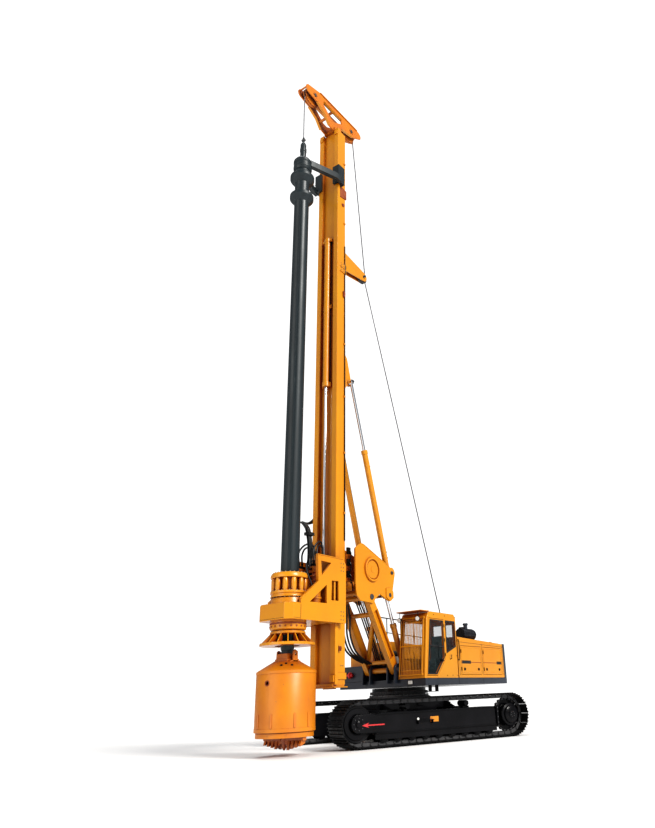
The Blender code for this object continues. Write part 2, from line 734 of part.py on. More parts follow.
def cylinder_rods(foot, eye, start, radius, shaft_half, eye_radius):
    """The pair of rods with their eyes on one head shaft."""
    way = (Vector(eye) - Vector(foot)).normalized()
    length = (Vector(eye) - Vector(foot)).length
    pieces = [cross_bar(eye, 0.045, shaft_half)]
    for side in (-1, 1):
        low = (foot[0] + way.x * start, side * PAIR, foot[1] + way.y * start)
        high = (foot[0] + way.x * (length - 0.02), side * PAIR, foot[1] + way.y * (length - 0.02))
        pieces.append(bar(low, high, radius))
        pieces.append(cross_bar(eye, eye_radius, radius + 0.012, 12, side * PAIR))
    return fuse(*pieces)


BRACKET_SIDE = (0.535, 0.575)
DISC = 0.25


def luffing_bracket():
    """Triangular side plates on cross shafts, with the round pivot bosses of the mast."""
    outline = [
        (2.70, 5.02), (2.50, 5.16), (2.36, 5.16), (1.14, 4.68), *arc(MAST_FOOT_EYE, 0.16, 70, 200, 6),
        (0.96, 4.12), *arc(LUFF_EYE, 0.17, 150, 290, 6), (1.62, 3.86), *arc(BOOM_TOP, 0.17, 200, 290, 5),
        (2.48, 3.60), (2.66, 3.74), (2.70, 4.00),
    ]
    holes = [ring(MAST_FOOT_EYE, 0.051), ring(LUFF_EYE, 0.062)]
    sides = [plate(outline, *sorted((s * BRACKET_SIDE[0], s * BRACKET_SIDE[1])), holes) for s in (-1, 1)]
    shafts = [
        cross_bar(BOOM_TOP, 0.070, BRACKET_SIDE[1] + 0.02),
        cross_bar(MAST_PIVOT, 0.080, BRACKET_SIDE[1] + 0.02),
        cross_bar((1.42, 4.20), 0.070, BRACKET_SIDE[0] + 0.01),
        cross_bar((2.44, 3.84), 0.070, BRACKET_SIDE[0] + 0.01),
    ]
    bosses = []
    for side in (-1, 1):
        centre = side * (BRACKET_SIDE[1] + 0.015)
        bosses.append(cross_bar(MAST_PIVOT, DISC, 0.02, 24, centre))
    return fuse(*sides, *shafts, *bosses)


def build_linkage():
    mount(boom(), "boom", "boom_foot", "yellow")
    mount(
        cylinder_barrels(LUFF_FOOT, LUFF_EYE, 1.36, 0.085, 0.060, CHEEK[3] - 0.005),
        "luffing_cylinders", "luff_foot", "yellow",
    )
    mount(cylinder_rods(LUFF_FOOT, LUFF_EYE, 0.55, 0.050, 0.57, 0.085), "luffing_rods", "luff_rod_eye", "chrome")
    mount(luffing_bracket(), "luffing_bracket", "bracket", "yellow")
    mount(
        cylinder_barrels(MAST_FOOT_EYE, MAST_HEAD_EYE, 3.72, 0.085, 0.060, 0.57),
        "mast_cylinders", "mast_cylinder_foot", "yellow",
    )
    mount(cylinder_rods(MAST_FOOT_EYE, MAST_HEAD_EYE, 0.75, 0.045, 0.50, 0.075), "mast_rods", "mast_rod_eye", "chrome")


# ---------------------------------------------------------------- mast
def mast_section(low, high):
    """A box with two rails at its front corners, a groove between them, and a hollow inside."""
    side = [
        (MAST_REAR, MAST_HALF), (MAST_REAR, -MAST_HALF), (MAST_WEB - 0.01, -MAST_HALF),
        (MAST_WEB - 0.01, -RAIL_OUT), (MAST_FRONT, -RAIL_OUT), (MAST_FRONT, -RAIL_IN), (MAST_WEB, -RAIL_IN),
        (MAST_WEB, RAIL_IN), (MAST_FRONT, RAIL_IN), (MAST_FRONT, RAIL_OUT), (MAST_WEB - 0.01, RAIL_OUT),
        (MAST_WEB - 0.01, MAST_HALF),
    ]
    wall = 0.02
    hollow = [
        (MAST_REAR + wall, -MAST_HALF + wall), (MAST_WEB - wall, -MAST_HALF + wall),
        (MAST_WEB - wall, MAST_HALF - wall), (MAST_REAR + wall, MAST_HALF - wall),
    ]
    return plate(side, low, high, [hollow], plane="XY")


def mast_lower():
    """The lower mast, with the lugs that hold it to the bracket and to its two cylinders."""
    body = mast_section(MAST_LOW, MAST_JOINT)
    lug_outline = [
        (MAST_REAR + 0.01, 4.10), (MAST_REAR + 0.01, 5.00), (2.70, 4.96), *arc(MAST_PIVOT, 0.25, 80, 280, 8), (2.70, 4.14),
    ]
    lugs = [plate(lug_outline, *sorted((s * 0.16, s * 0.26)), [ring(MAST_PIVOT, 0.086)]) for s in (-1, 1)]
    x, z = MAST_HEAD_EYE
    head_outline = [
        (MAST_REAR + 0.01, z - 0.30), (MAST_REAR + 0.01, z + 0.95), (MAST_REAR - 0.12, z + 0.80),
        (x - 0.10, z + 0.12), *arc(MAST_HEAD_EYE, 0.12, 150, 300, 6),
    ]
    heads = [
        plate(head_outline, *sorted((s * low, s * high)), [ring(MAST_HEAD_EYE, 0.060)])
        for s in (-1, 1)
        for low, high in ((0.30, 0.345), )
    ]
    foot = block((MAST_REAR + 0.02, -MAST_HALF, MAST_LOW - 0.05), (MAST_FRONT + 0.02, MAST_HALF, MAST_LOW + 0.02))
    drain = block((MAST_REAR + 0.10, -0.25, MAST_LOW - 0.2), (MAST_WEB - 0.08, 0.25, MAST_LOW + 0.2))
    return fuse(body, *lugs, *heads, foot, cut=[drain])


GUIDE_SHEAVE = (1.56, 14.80)


def mast_upper():
    """The upper mast, with the arm that holds the rope's guide sheave off its back."""
    body = mast_section(MAST_JOINT + FIT, MAST_TOP)
    outline = [
        (MAST_REAR + 0.01, 14.35), (MAST_REAR + 0.01, 15.30), (2.60, 15.20), *arc(GUIDE_SHEAVE, 0.17, 90, 270, 6), (2.50, 14.50),
    ]
    bore = ring(GUIDE_SHEAVE, 0.046)
    arms = [plate(outline, *sorted((s * 0.07, s * 0.10)), [bore]) for s in (-1, 1)]
    tie = block((2.40, -0.09, 14.70), (2.46, 0.09, 15.00))
    return fuse(body, *arms, tie)


FRONT_SHEAVE = (4.34, 20.78)
REAR_SHEAVE = (2.36, 20.78)
CROWN_PLATE = (0.16, 0.20)


def crown():
    """The pulley frame: two long cheeks over the mast's top, with a gooseneck to the front sheave."""
    outline = [
        *arc((4.62, 20.82), 0.17, -90, 90, 6), (4.10, 21.12), (2.00, 21.12), *arc((1.95, 20.95), 0.17, 90, 210, 5),
        (2.30, 20.56), (2.92, 20.42), (2.95, MAST_TOP + FIT), (3.36, MAST_TOP + FIT), (3.62, 20.04),
        (3.86, 20.36), (4.24, 20.58),
    ]
    window = [(2.90, 20.68), (3.30, 20.42), (3.50, 20.43), (3.92, 20.76), (3.86, 20.88), (2.96, 20.87)]
    holes = [window, ring(FRONT_SHEAVE, 0.046), ring(REAR_SHEAVE, 0.046)]
    cheeks = [plate(outline, *sorted((s * CROWN_PLATE[0], s * CROWN_PLATE[1])), holes) for s in (-1, 1)]
    base = block((2.96, -0.24, MAST_TOP + FIT), (3.34, 0.24, MAST_TOP + 0.14))
    ties = [cross_bar(at, 0.05, 0.17, 10) for at in ((3.30, 20.98), (1.92, 20.97), (3.70, 20.30))]
    ties.append(cross_bar((4.72, 20.88), 0.03, 0.17, 8))
    return fuse(*cheeks, base, *ties)


def sheave(at, radius, half, shaft_half):
    """A grooved wheel with its own shaft ends."""
    return turned(
        [
            (0, shaft_half), (0.04, shaft_half), (0.04, half), (radius, half), (radius, half * 0.8),
            (radius - 0.045, 0.0), (radius, -half * 0.8), (radius, -half), (0.04, -half), (0.04, -shaft_half),
            (0, -shaft_half),
        ],
        (at[0], 0, at[1]),
        (0, 1, 0),
        20,
    )


CROWD_TOP = 15.30
CROWD_GLAND = 9.85
CARRIAGE_TOP = 4.62
ROD_SEAT = 4.605


def crowd_barrel():
    """The crowd cylinder's barrel in the mast's groove, on its lugs, open at the gland."""
    barrel = turned(
        [
            (0, CROWD_TOP), (0.095, CROWD_TOP), (0.095, CROWD_GLAND + 0.15), (0.098, CROWD_GLAND + 0.14),
            (0.098, CROWD_GLAND), (0, CROWD_GLAND),
        ],
        (MAST_FRONT, 0, 0),
        sides=16,
    )
    lugs = [
        block((MAST_WEB + FIT, -0.16, z), (MAST_FRONT - 0.02, 0.16, z + 0.12))
        for z in (CROWD_GLAND + 0.02, 12.6, CROWD_TOP - 0.14)
    ]
    bore = bar((MAST_FRONT, 0, CROWD_GLAND - 0.2), (MAST_FRONT, 0, CROWD_TOP - 0.06), 0.058)
    return fuse(barrel, *lugs, cut=[bore])


def build_mast():
    mount(mast_lower(), "mast_lower", "mast_pivot", "yellow")
    mount(mast_upper(), "mast_upper", "mast_pivot", "yellow")
    mount(crown(), "crown", "mast_pivot", "yellow")
    for name, at in (("front_sheave", FRONT_SHEAVE), ("rear_sheave", REAR_SHEAVE)):
        pivot(name + "_axle", (at[0], 0, at[1]), "mast_pivot")
        mount(sheave(at, 0.335, 0.06, CROWN_PLATE[1] - 0.01), name, name + "_axle", "cast")
    pivot("guide_sheave_axle", (GUIDE_SHEAVE[0], 0, GUIDE_SHEAVE[1]), "mast_pivot")
    mount(sheave(GUIDE_SHEAVE, 0.22, 0.05, 0.095), "guide_sheave", "guide_sheave_axle", "cast")
    mount(crowd_barrel(), "crowd_cylinder", "mast_pivot", "yellow")


# ---------------------------------------------------------------- power head
CARRIAGE_SIDE = (0.50, 0.56)
HOUSING_LOW = 2.97
HOUSING_TOP = 3.35
CROSS_PLATE = 3.475


def carriage():
    """Side plates on both sides of the mast, their cross plate, and the shoes that hold the rails."""
    outline = [
        (3.10, HOUSING_LOW), (4.80, HOUSING_LOW), (4.80, 3.46), (4.19, 3.93), (4.22, CARRIAGE_TOP),
        (3.20, CARRIAGE_TOP), (3.10, 4.49),
    ]
    holes = [
        [(3.70, 4.46), (4.09, 4.47), (4.06, 4.10)],
        [(3.40, 3.52), (3.68, 3.51), (3.67, 4.01), (3.41, 4.02)],
        [(3.86, 3.42), (4.48, 3.41), (3.87, 3.88)],
    ]
    sides = [plate(outline, *sorted((s * CARRIAGE_SIDE[0], s * CARRIAGE_SIDE[1])), holes) for s in (-1, 1)]
    cross = block((CROSS_PLATE, -0.52, HOUSING_LOW + 0.01), (CROSS_PLATE + 0.06, 0.52, CARRIAGE_TOP - 0.01))
    claws = []
    for low, high in ((HOUSING_LOW + 0.005, 3.40), (4.18, CARRIAGE_TOP - 0.005)):
        for side in (-1, 1):
            claws.append(plate(claw_outline(side, CROSS_PLATE + 0.01, 0.51), low, high, plane="XY"))
    rod_eye = block((MAST_FRONT - 0.055, -0.11, 4.40), (CROSS_PLATE + 0.01, 0.11, ROD_SEAT))
    return fuse(*sides, cross, *claws, rod_eye)


def claw_outline(side, front, outer):
    """A claw seen from above, round one rail of the mast from in front, outside and behind."""
    points = [
        (MAST_WEB - 0.11, MAST_HALF + RUN), (MAST_WEB - 0.02, MAST_HALF + RUN), (MAST_WEB - 0.02, RAIL_OUT + RUN),
        (MAST_FRONT + RUN, RAIL_OUT + RUN), (MAST_FRONT + RUN, RAIL_IN + 0.01), (front, RAIL_IN + 0.01),
        (front, outer), (MAST_WEB - 0.11, outer),
    ]
    return [(x, side * y) for x, y in points]


def rotary_gearbox():
    """The drive's housing round the kelly bar, with its motors and lower seal ring."""
    between = CARRIAGE_SIDE[0] - 0.001
    rear = block((CROSS_PLATE + 0.06 + FIT, -between, HOUSING_LOW), (4.84, between, HOUSING_TOP))
    nose = plate(
        [(4.8010, -0.56), (5.06, -0.56), (5.20, -0.40), (5.20, 0.40), (5.06, 0.56), (4.8010, 0.56)],
        HOUSING_LOW,
        HOUSING_TOP,
        plane="XY",
    )
    cover = turned(
        [(0, 3.52), (0.42, 3.52), (0.47, 3.34), (0.47, 3.20), (0, 3.20)], (KELLY_X, 0, 0)
    )
    seal = turned(
        [(0, 3.05), (0.44, 3.05), (0.44, 2.78), (0.41, 2.75), (0, 2.75)], (KELLY_X, 0, 0)
    )
    motors = []
    for side in (-1, 1):
        x, y = 3.98, side * 0.26
        motors.append(bar((x, y, 3.30), (x, y, 3.78), 0.155, 14))
        motors.append(bar((x, y, 3.70), (x, y, 4.02), 0.115))
        motors.append(bar((x, y, 3.95), (x, y, 4.34), 0.090))
    bore = bar((KELLY_X, 0, 2.5), (KELLY_X, 0, 3.8), 0.312, 24)
    return fuse(rear, nose, cover, seal, *motors, cut=[bore])


def drive_sleeve():
    """The turning tube through the gearbox, with the shock absorber's two flanges."""
    profile = [
        (0.465, 4.13), (0.465, 3.97), (0.425, 3.96), (0.425, 3.66), (0.455, 3.65), (0.455, 3.54), (0.300, 3.54),
        (0.300, 2.50), (SLEEVE_BORE, 2.50), (SLEEVE_BORE, 4.13),
    ]
    return turned(profile, (KELLY_X, 0, 0))


def casing_adaptor():
    """The flared drive adaptor under the gearbox."""
    profile = [
        (0.42, 2.73), (0.42, 2.67), (0.36, 2.65), (0.36, 2.50), (0.665, 2.46), (0.665, 2.40), (0.302, 2.40),
        (0.302, 2.73),
    ]
    return turned(profile, (KELLY_X, 0, 0))


# ---------------------------------------------------------------- kelly bar and bucket
def kelly_outer():
    """The outer kelly tube with its two stop flanges and drive keys."""
    profile = [
        (0.26, 17.15), (0.27, 16.96), (0.385, 16.93), (0.385, 16.82), (0.28, 16.68), (KELLY_RADIUS, 16.64),
        (KELLY_RADIUS, 16.18), (0.375, 16.15), (0.375, 16.04), (0.27, 15.90), (KELLY_RADIUS, 15.86),
        (KELLY_RADIUS, 2.46), (0.195, 2.46), (0.195, 17.15),
    ]
    return turned(profile, (KELLY_X, 0, 0))


def kelly_inner():
    """The inner kelly tube, open at its top, down to its square stub."""
    profile = [(0, 2.40), (0.120, 2.40), (0.120, 16.95), (0.160, 16.95), (0.160, 2.30), (0, 2.30)]
    tube = turned(profile, (KELLY_X, 0, 0))
    stub = block((KELLY_X - 0.10, -0.10, 2.10), (KELLY_X + 0.10, 0.10, 2.34))
    return fuse(tube, stub)


def kelly_guide():
    """The guide head round the kelly's top, on two arms with shoes on the mast's rails."""
    head = turned(
        [
            (0.13, 17.66), (0.25, 17.64), (0.285, 17.56), (0.285, 17.24), (0.25, 17.18), (0.07, 17.18), (0.07, 17.66),
        ],
        (KELLY_X, 0, 0),
    )
    pieces = [head]
    for side in (-1, 1):
        arm = [
            (KELLY_X - 0.12, side * 0.10), (KELLY_X - 0.12, side * 0.26), (3.60, side * 0.60), (3.34, side * 0.60),
            (3.34, side * 0.50), (3.56, side * 0.46),
        ]
        pieces.append(plate(arm, 17.42, 17.64, plane="XY"))
        pieces.append(plate(claw_outline(side, MAST_FRONT + 0.09, 0.53), 17.46, 18.18, plane="XY"))
    return fuse(*pieces)


def swivel():
    """The rope's swivel above the guide head."""
    return turned(
        [
            (0, 18.66), (0.035, 18.66), (0.035, 18.24), (0.095, 18.16), (0.100, 17.72), (0.085, 17.6603), (0, 17.6603),
        ],
        (KELLY_X, 0, 0),
        sides=14,
    )


BUCKET_TOP = 1.83
BUCKET_LOW = 0.515
LID_HINGE = (KELLY_X - BUCKET_RADIUS + 0.02, 0.47)


def bucket():
    """The bucket's open-bottomed shell with its cone, its kelly box and its hinge lugs."""
    shell = turned(
        [
            (0.14, 2.20), (0.14, 2.05), (0.34, 2.03), (BUCKET_RADIUS - 0.01, BUCKET_TOP), (BUCKET_RADIUS, BUCKET_TOP - 0.02),
            (BUCKET_RADIUS, BUCKET_LOW), (BUCKET_RADIUS - 0.03, BUCKET_LOW), (BUCKET_RADIUS - 0.03, BUCKET_TOP - 0.03),
            (0.34, 1.99), (0.12, 1.99), (0.12, 2.20),
        ],
        (KELLY_X, 0, 0),
        sides=32,
    )
    socket = block((KELLY_X - 0.17, -0.17, 2.00), (KELLY_X + 0.17, 0.17, 2.22))
    stub_hole = block((KELLY_X - 0.1003, -0.1003, 1.95), (KELLY_X + 0.1003, 0.1003, 2.40))
    vent = bar((KELLY_X - 0.9, -0.10, 1.56), (KELLY_X + 0.9, 0.10, 1.56), 0.045, 12)
    return fuse(shell, socket, cut=[stub_hole, vent])


def bucket_lid():
    """The hinged bottom with its two rows of teeth and the pilot bit."""
    top = BUCKET_LOW - 0.006
    disc = turned(
        [(0, top), (0.66, top), (0.66, 0.44), (0.60, 0.41), (0, 0.41)], (KELLY_X, 0, 0)
    )
    pieces = [disc]
    for side in (-1, 1):
        blade = [(0.05, 0.43), (0.62, 0.43), (0.60, 0.32), (0.16, 0.22), (0.05, 0.26)]
        ramp = plate(blade, -0.04, 0.04)
        ramp.location = (KELLY_X, 0, 0)
        ramp.rotation_euler.z = math.pi / 2 * side
        pieces.append(ramp)
        for i in range(4):
            reach = side * (0.20 + 0.12 * i)
            low = 0.155 + 0.025 * i
            tooth = plate(
                [(-0.05, 0.34), (0.05, 0.34), (0.09, low), (0.05, low - 0.0), (-0.05, 0.28)], reach - 0.03, reach + 0.03
            )
            tooth.location.x = KELLY_X
            pieces.append(tooth)
    pilot = turned([(0, 0.44), (0.07, 0.44), (0.05, 0.17), (0.0, 0.13)], (KELLY_X, 0, 0), sides=10)
    return fuse(*pieces, pilot)


def build_drill():
    mount(carriage(), "power_head_carriage", "carriage", "yellow")
    mount(rotary_gearbox(), "rotary_gearbox", "carriage", "yellow")
    rod = bar((MAST_FRONT, 0, ROD_SEAT + FIT), (MAST_FRONT, 0, 10.15), 0.045)
    mount(rod, "crowd_rod", "carriage", "chrome")
    mount(drive_sleeve(), "drive_sleeve", "sleeve_axis", "yellow")
    mount(casing_adaptor(), "casing_adaptor", "sleeve_axis", "yellow")
    mount(kelly_guide(), "kelly_guide", "kelly_guide_slide", "kelly_grey")
    mount(swivel(), "rope_swivel", "kelly_guide_slide", "kelly_grey")
    mount(kelly_outer(), "kelly_outer", "kelly_axis", "kelly_grey")
    mount(kelly_inner(), "kelly_inner", "kelly_telescope", "kelly_grey")
    mount(bucket(), "drilling_bucket", "kelly_telescope", "yellow")
    mount(bucket_lid(), "bucket_lid", "lid_hinge", "yellow")


# ---------------------------------------------------------------- assembly
def build_pivots():
    pivot("rig", (0, 0, 0))
    pivot("undercarriage", (0, 0, 0), "rig")
    pivot("upper", (0, 0, 0), "rig")
    pivot("boom_foot", (BOOM_FOOT[0], 0, BOOM_FOOT[1]), "upper")
    pivot("luff_foot", (LUFF_FOOT[0], 0, LUFF_FOOT[1]), "upper")
    pivot("luff_rod_eye", (LUFF_EYE[0], 0, LUFF_EYE[1]), "luff_foot")
    pivot("bracket", (BOOM_TOP[0], 0, BOOM_TOP[1]), "boom_foot")
    pivot("mast_cylinder_foot", (MAST_FOOT_EYE[0], 0, MAST_FOOT_EYE[1]), "bracket")
    pivot("mast_rod_eye", (MAST_HEAD_EYE[0], 0, MAST_HEAD_EYE[1]), "mast_cylinder_foot")
    pivot("mast_pivot", (MAST_PIVOT[0], 0, MAST_PIVOT[1]), "bracket")
    pivot("carriage", (MAST_FRONT, 0, HOUSING_LOW), "mast_pivot")
    pivot("sleeve_axis", (KELLY_X, 0, HOUSING_LOW), "carriage")
    pivot("kelly_guide_slide", (KELLY_X, 0, 17.4), "mast_pivot")
    pivot("kelly_axis", (KELLY_X, 0, 16.5), "kelly_guide_slide")
    pivot("kelly_telescope", (KELLY_X, 0, 2.2), "kelly_axis")
    pivot("lid_hinge", (LID_HINGE[0], 0, LID_HINGE[1]), "kelly_telescope")


def main():
    clear_scene()
    build_pivots()
    build_undercarriage()
    build_upper()
    build_cab()
    build_linkage()
    build_mast()
    build_drill()
    PIVOTS["rig"][0].location.x = -ORIGIN_X
    PIVOTS["undercarriage"][0].rotation_euler.z = -SLEW_AT_REST
    bpy.context.view_layer.update()


main()
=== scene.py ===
"""The looks of the rotary piling rig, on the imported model.

Places are metres from the slewing axis at ground level: X forward to the kelly bar, Y to the rig's
left and Z up. Shape.make() moves each piece into the model's own frame. Places on the tracks are
along the undercarriage's own axes, which the slewed upper leaves behind by SLEW degrees.
"""

import math

import bmesh
import bpy
from mathutils import Matrix, Vector
from mathutils.geometry import tessellate_polygon


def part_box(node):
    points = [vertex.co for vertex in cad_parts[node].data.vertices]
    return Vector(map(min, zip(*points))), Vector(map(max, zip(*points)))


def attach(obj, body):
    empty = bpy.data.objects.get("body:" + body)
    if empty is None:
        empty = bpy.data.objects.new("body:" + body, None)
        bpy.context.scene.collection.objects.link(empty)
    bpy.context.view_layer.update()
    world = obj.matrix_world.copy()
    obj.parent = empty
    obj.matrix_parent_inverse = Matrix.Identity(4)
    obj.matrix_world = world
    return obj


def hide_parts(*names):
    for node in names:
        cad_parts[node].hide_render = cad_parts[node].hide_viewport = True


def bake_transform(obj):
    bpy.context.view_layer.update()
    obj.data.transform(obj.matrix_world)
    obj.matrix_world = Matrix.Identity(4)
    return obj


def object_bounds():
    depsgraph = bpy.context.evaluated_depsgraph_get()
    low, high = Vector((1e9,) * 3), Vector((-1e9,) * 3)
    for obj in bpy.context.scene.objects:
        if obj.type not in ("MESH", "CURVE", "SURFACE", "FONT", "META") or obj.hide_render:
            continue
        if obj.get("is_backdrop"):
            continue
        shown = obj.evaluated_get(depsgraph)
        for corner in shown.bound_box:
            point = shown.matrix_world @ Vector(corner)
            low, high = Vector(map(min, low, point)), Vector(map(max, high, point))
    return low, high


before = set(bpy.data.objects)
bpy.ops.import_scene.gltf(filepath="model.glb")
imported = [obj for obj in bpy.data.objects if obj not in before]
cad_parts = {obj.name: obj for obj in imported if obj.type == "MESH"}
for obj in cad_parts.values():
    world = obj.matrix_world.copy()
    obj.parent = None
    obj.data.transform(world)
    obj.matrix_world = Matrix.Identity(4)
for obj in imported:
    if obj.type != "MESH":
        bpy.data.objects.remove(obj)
cad_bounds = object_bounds()

# ---------------------------------------------------------------- places
KELLY = 4.64
kelly_low, kelly_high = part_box("kelly_outer")
RIG = Matrix.Translation(((kelly_low.x + kelly_high.x) / 2 - KELLY, 0, 0))
SLEW = 23.5
UNDER = RIG @ Matrix.Rotation(math.radians(-SLEW), 4, "Z")

AXLE, AXLE_Z, TRACK_Y = 2.42, 0.565, 1.8
BOOM_FOOT, BOOM_TOP = (0.83, 1.85), (2.0, 3.75)
LUFF_FOOT, LUFF_EYE = (0.3, 1.85), (1.15, 3.87)
MAST_PIVOT, FOOT_EYE, HEAD_EYE = (1.98, 4.5), (1.02, 4.52), (2.7, 10.15)
MAST_REAR, MAST_FRONT = 2.9, 3.36
WINCH = (-3.2, 2.25)
FRONT_SHEAVE, REAR_SHEAVE, GUIDE_SHEAVE = (4.34, 20.78), (2.36, 20.78), (1.56, 14.8)
CYLINDER_Y, BRACKET_FACE, RAIL_Y = 0.43, 0.574, -1.44
MOTOR_X, MOTOR_Y = 3.98, 0.26
SIDES = (-1, 1)
SMOOTH_UNDER, SOFTEN_OVER = math.radians(32), math.radians(38)


def cab_face(z):
    """X of the cab's sloping front at a height."""
    return 0.88 - (z - 1.59) * 0.131


def to_world(at):
    """A place of the rig in the model's own frame."""
    return RIG @ Vector(at)


def spot(at, y=0):
    """An (x, z) place at a distance from the middle plane."""
    return Vector((at[0], y, at[1]))


def span_of(side, near, far):
    """Low and high Y of what reaches from near to far out on one side."""
    return sorted((side * near, side * far))


def turned(degrees, axis):
    """A turn about one axis."""
    return Matrix.Rotation(math.radians(degrees), 4, axis)


def around(count, start=0.0):
    """Evenly spaced angles round a circle, in radians."""
    return [start + 2 * math.pi * i / count for i in range(count)]


def polar(radius, angle, centre=(0, 0)):
    """The point at a radius and an angle in radians round a centre."""
    return centre[0] + radius * math.cos(angle), centre[1] + radius * math.sin(angle)


def arc(centre, radius, start, end, steps):
    """Points along an arc between two angles in degrees."""
    return [polar(radius, math.radians(start + (end - start) * step / steps),
        centre) for step in range(steps + 1)]


def circle(centre, radius, steps=24):
    """A whole circle's points, the last one not repeated."""
    return arc(centre, radius, 0, 360 * (steps - 1) / steps, steps - 1)


def gear(count, corners, centre=(0, 0)):
    """A gear's outline, from the (share of the pitch, radius) of each corner of a tooth."""
    return [polar(radius, 2 * math.pi * (tooth + share) / count, centre) for tooth in range(count) for share,
        radius in corners]


def band(radius, height, bore):
    """A collar's profile, with its two outer edges cut."""
    return [(bore, 0), (radius - 0.006, 0), (radius, 0.008), (radius, height - 0.008),
        (radius - 0.006, height), (bore, height)]


def kelly_places(count):
    """Places round the kelly bar's axis, for copies."""
    return [Matrix.Translation((KELLY, 0, 0)) @ Matrix.Rotation(angle, 4, "Z") for angle in around(count)]


def new_object(name, data):
    """An object in the scene, for a mesh, a light or a camera."""
    made = bpy.data.objects.new(name, data)
    bpy.context.scene.collection.objects.link(made)
    return made


# ---------------------------------------------------------------- shapes
X, Y, Z = Vector((1, 0, 0)), Vector((0, 1, 0)), Vector((0, 0, 1))


class Shape:
    """The mesh of one piece, gathered from closed solids."""

    def __init__(self, place=RIG):
        self.bm = bmesh.new()
        self.place = place

    def put(self, verts, matrix):
        """Moves new vertices to their place."""
        bmesh.ops.transform(self.bm, matrix=matrix, verts=verts)
        return self

    def box(self, low, high, turn=None):
        """A box between two corners, then turned about its own middle."""
        low, high = Vector(low), Vector(high)
        verts = bmesh.ops.create_cube(self.bm, size=1.0)["verts"]
        size = Matrix.Diagonal((*(high - low), 1))
        return self.put(verts, Matrix.Translation((low + high) / 2) @ (turn or Matrix()) @ size)

    def bar(self, start, end, radius, end_radius=None, sides=20):
        """A round bar, or a cone, between two points."""
        start, end = Vector(start), Vector(end)
        run = end - start
        top = radius if end_radius is None else end_radius
        made = bmesh.ops.create_cone(self.bm, cap_ends=True, segments=sides, radius1=radius, radius2=top,
            depth=run.length)
        turn = Z.rotation_difference(run).to_matrix().to_4x4()
        return self.put(made["verts"], Matrix.Translation((start + end) / 2) @ turn)

    def across(self, at, radius, low, high, sides=20):
        """A round bar across the rig through (x, z)."""
        return self.bar((at[0], low, at[1]), (at[0], high, at[1]), radius, sides=sides)

    def plate(self, outline, low, high, plane="XZ", holes=()):
        """A flat outline with holes, as thick as low to high across its plane."""
        loops = [list(outline), *[list(hole) for hole in holes]]
        flat = [Vector((u, v, 0)) for loop in loops for u, v in loop]
        faces = tessellate_polygon([[Vector((u, v, 0)) for u, v in loop] for loop in loops])

        def point(at, depth):
            if plane == "XZ":
                return (at.x, depth, at.y)
            return (at.x, at.y, depth) if plane == "XY" else (depth, at.x, at.y)

        near = [self.bm.verts.new(point(at, low)) for at in flat]
        far = [self.bm.verts.new(point(at, high)) for at in flat]
        for a, b, c in faces:
            self.bm.faces.new((near[a], near[b], near[c]))
            self.bm.faces.new((far[c], far[b], far[a]))
        first = 0
        for loop in loops:
            for i in range(len(loop)):
                a, b = first + i, first + (i + 1) % len(loop)
                self.bm.faces.new((near[a], near[b], far[b], far[a]))
            first += len(loop)
        return self

    def box_pair(self, low, high):
        """The same box at the right and at the left; its Y runs outwards from the middle plane."""
        for side in SIDES:
            near, far = span_of(side, low[1], high[1])
            self.box((low[0], near, low[2]), (high[0], far, high[2]))
        return self

    def plate_pair(self, outline, near, far, holes=()):
        """The same upright plate at the right and at the left."""
        for side in SIDES:
            self.plate(outline, *span_of(side, near, far), holes=holes)
        return self

    def lathe(self, profile, base=(0, 0, 0), axis=Z, sides=32):
        """A profile of (radius, height) turned about an axis; it closes on the axis or on itself."""
        closed = profile[0][0] > 0
        rings = []
        for radius, height in profile:
            if radius == 0:
                rings.append([self.bm.verts.new((0, 0, height))])
                continue
            rings.append([self.bm.verts.new((*polar(radius, angle), height)) for angle in around(sides)])
        pairs = list(zip(rings, rings[1:])) + ([(rings[-1], rings[0])] if closed else [])
        for one, two in pairs:
            for i in range(sides):
                j = (i + 1) % sides
                corners = [one[i % len(one)], one[j % len(one)], two[j % len(two)], two[i % len(two)]]
                self.bm.faces.new(list(dict.fromkeys(corners)))
        verts = [v for ring in rings for v in ring]
        turn = Z.rotation_difference(Vector(axis)).to_matrix().to_4x4()
        return self.put(verts, Matrix.Translation(base) @ turn)

    def on_kelly(self, profile, sides=48):
        """A profile turned about the kelly bar's axis."""
        return self.lathe(profile, (KELLY, 0, 0), Z, sides)

    def tube(self, points, radius, sides=10, smooth=6):
        """A hose, rope or rail along a curve through points."""
        path = curve_through(points, smooth)
        side = None
        rings = []
        for i, at in enumerate(path):
            way = (path[min(i + 1, len(path) - 1)] - path[max(i - 1, 0)]).normalized()
            if side is None:
                side = way.orthogonal().normalized()
            side = (side - way * side.dot(way)).normalized()
            other = way.cross(side)
            ways = [side * math.cos(angle) + other * math.sin(angle) for angle in around(sides)]
            rings.append([self.bm.verts.new(at + way * radius) for way in ways])
        for one, two in zip(rings, rings[1:]):
            for k in range(sides):
                m = (k + 1) % sides
                self.bm.faces.new((one[k], one[m], two[m], two[k]))
        self.bm.faces.new(rings[0][::-1])
        self.bm.faces.new(rings[-1])
        return self

    def bolts(self, centre, axis, radius, count, size=0.016, height=0.014, start=0.0):
        """Hexagon heads on a circle round an axis."""
        axis = Vector(axis).normalized()
        side = axis.orthogonal().normalized()
        other = axis.cross(side)
        ways = [side * math.cos(angle) + other * math.sin(angle) for angle in around(count, start)]
        return self.studs([Vector(centre) + way * radius for way in ways], axis, size, height)

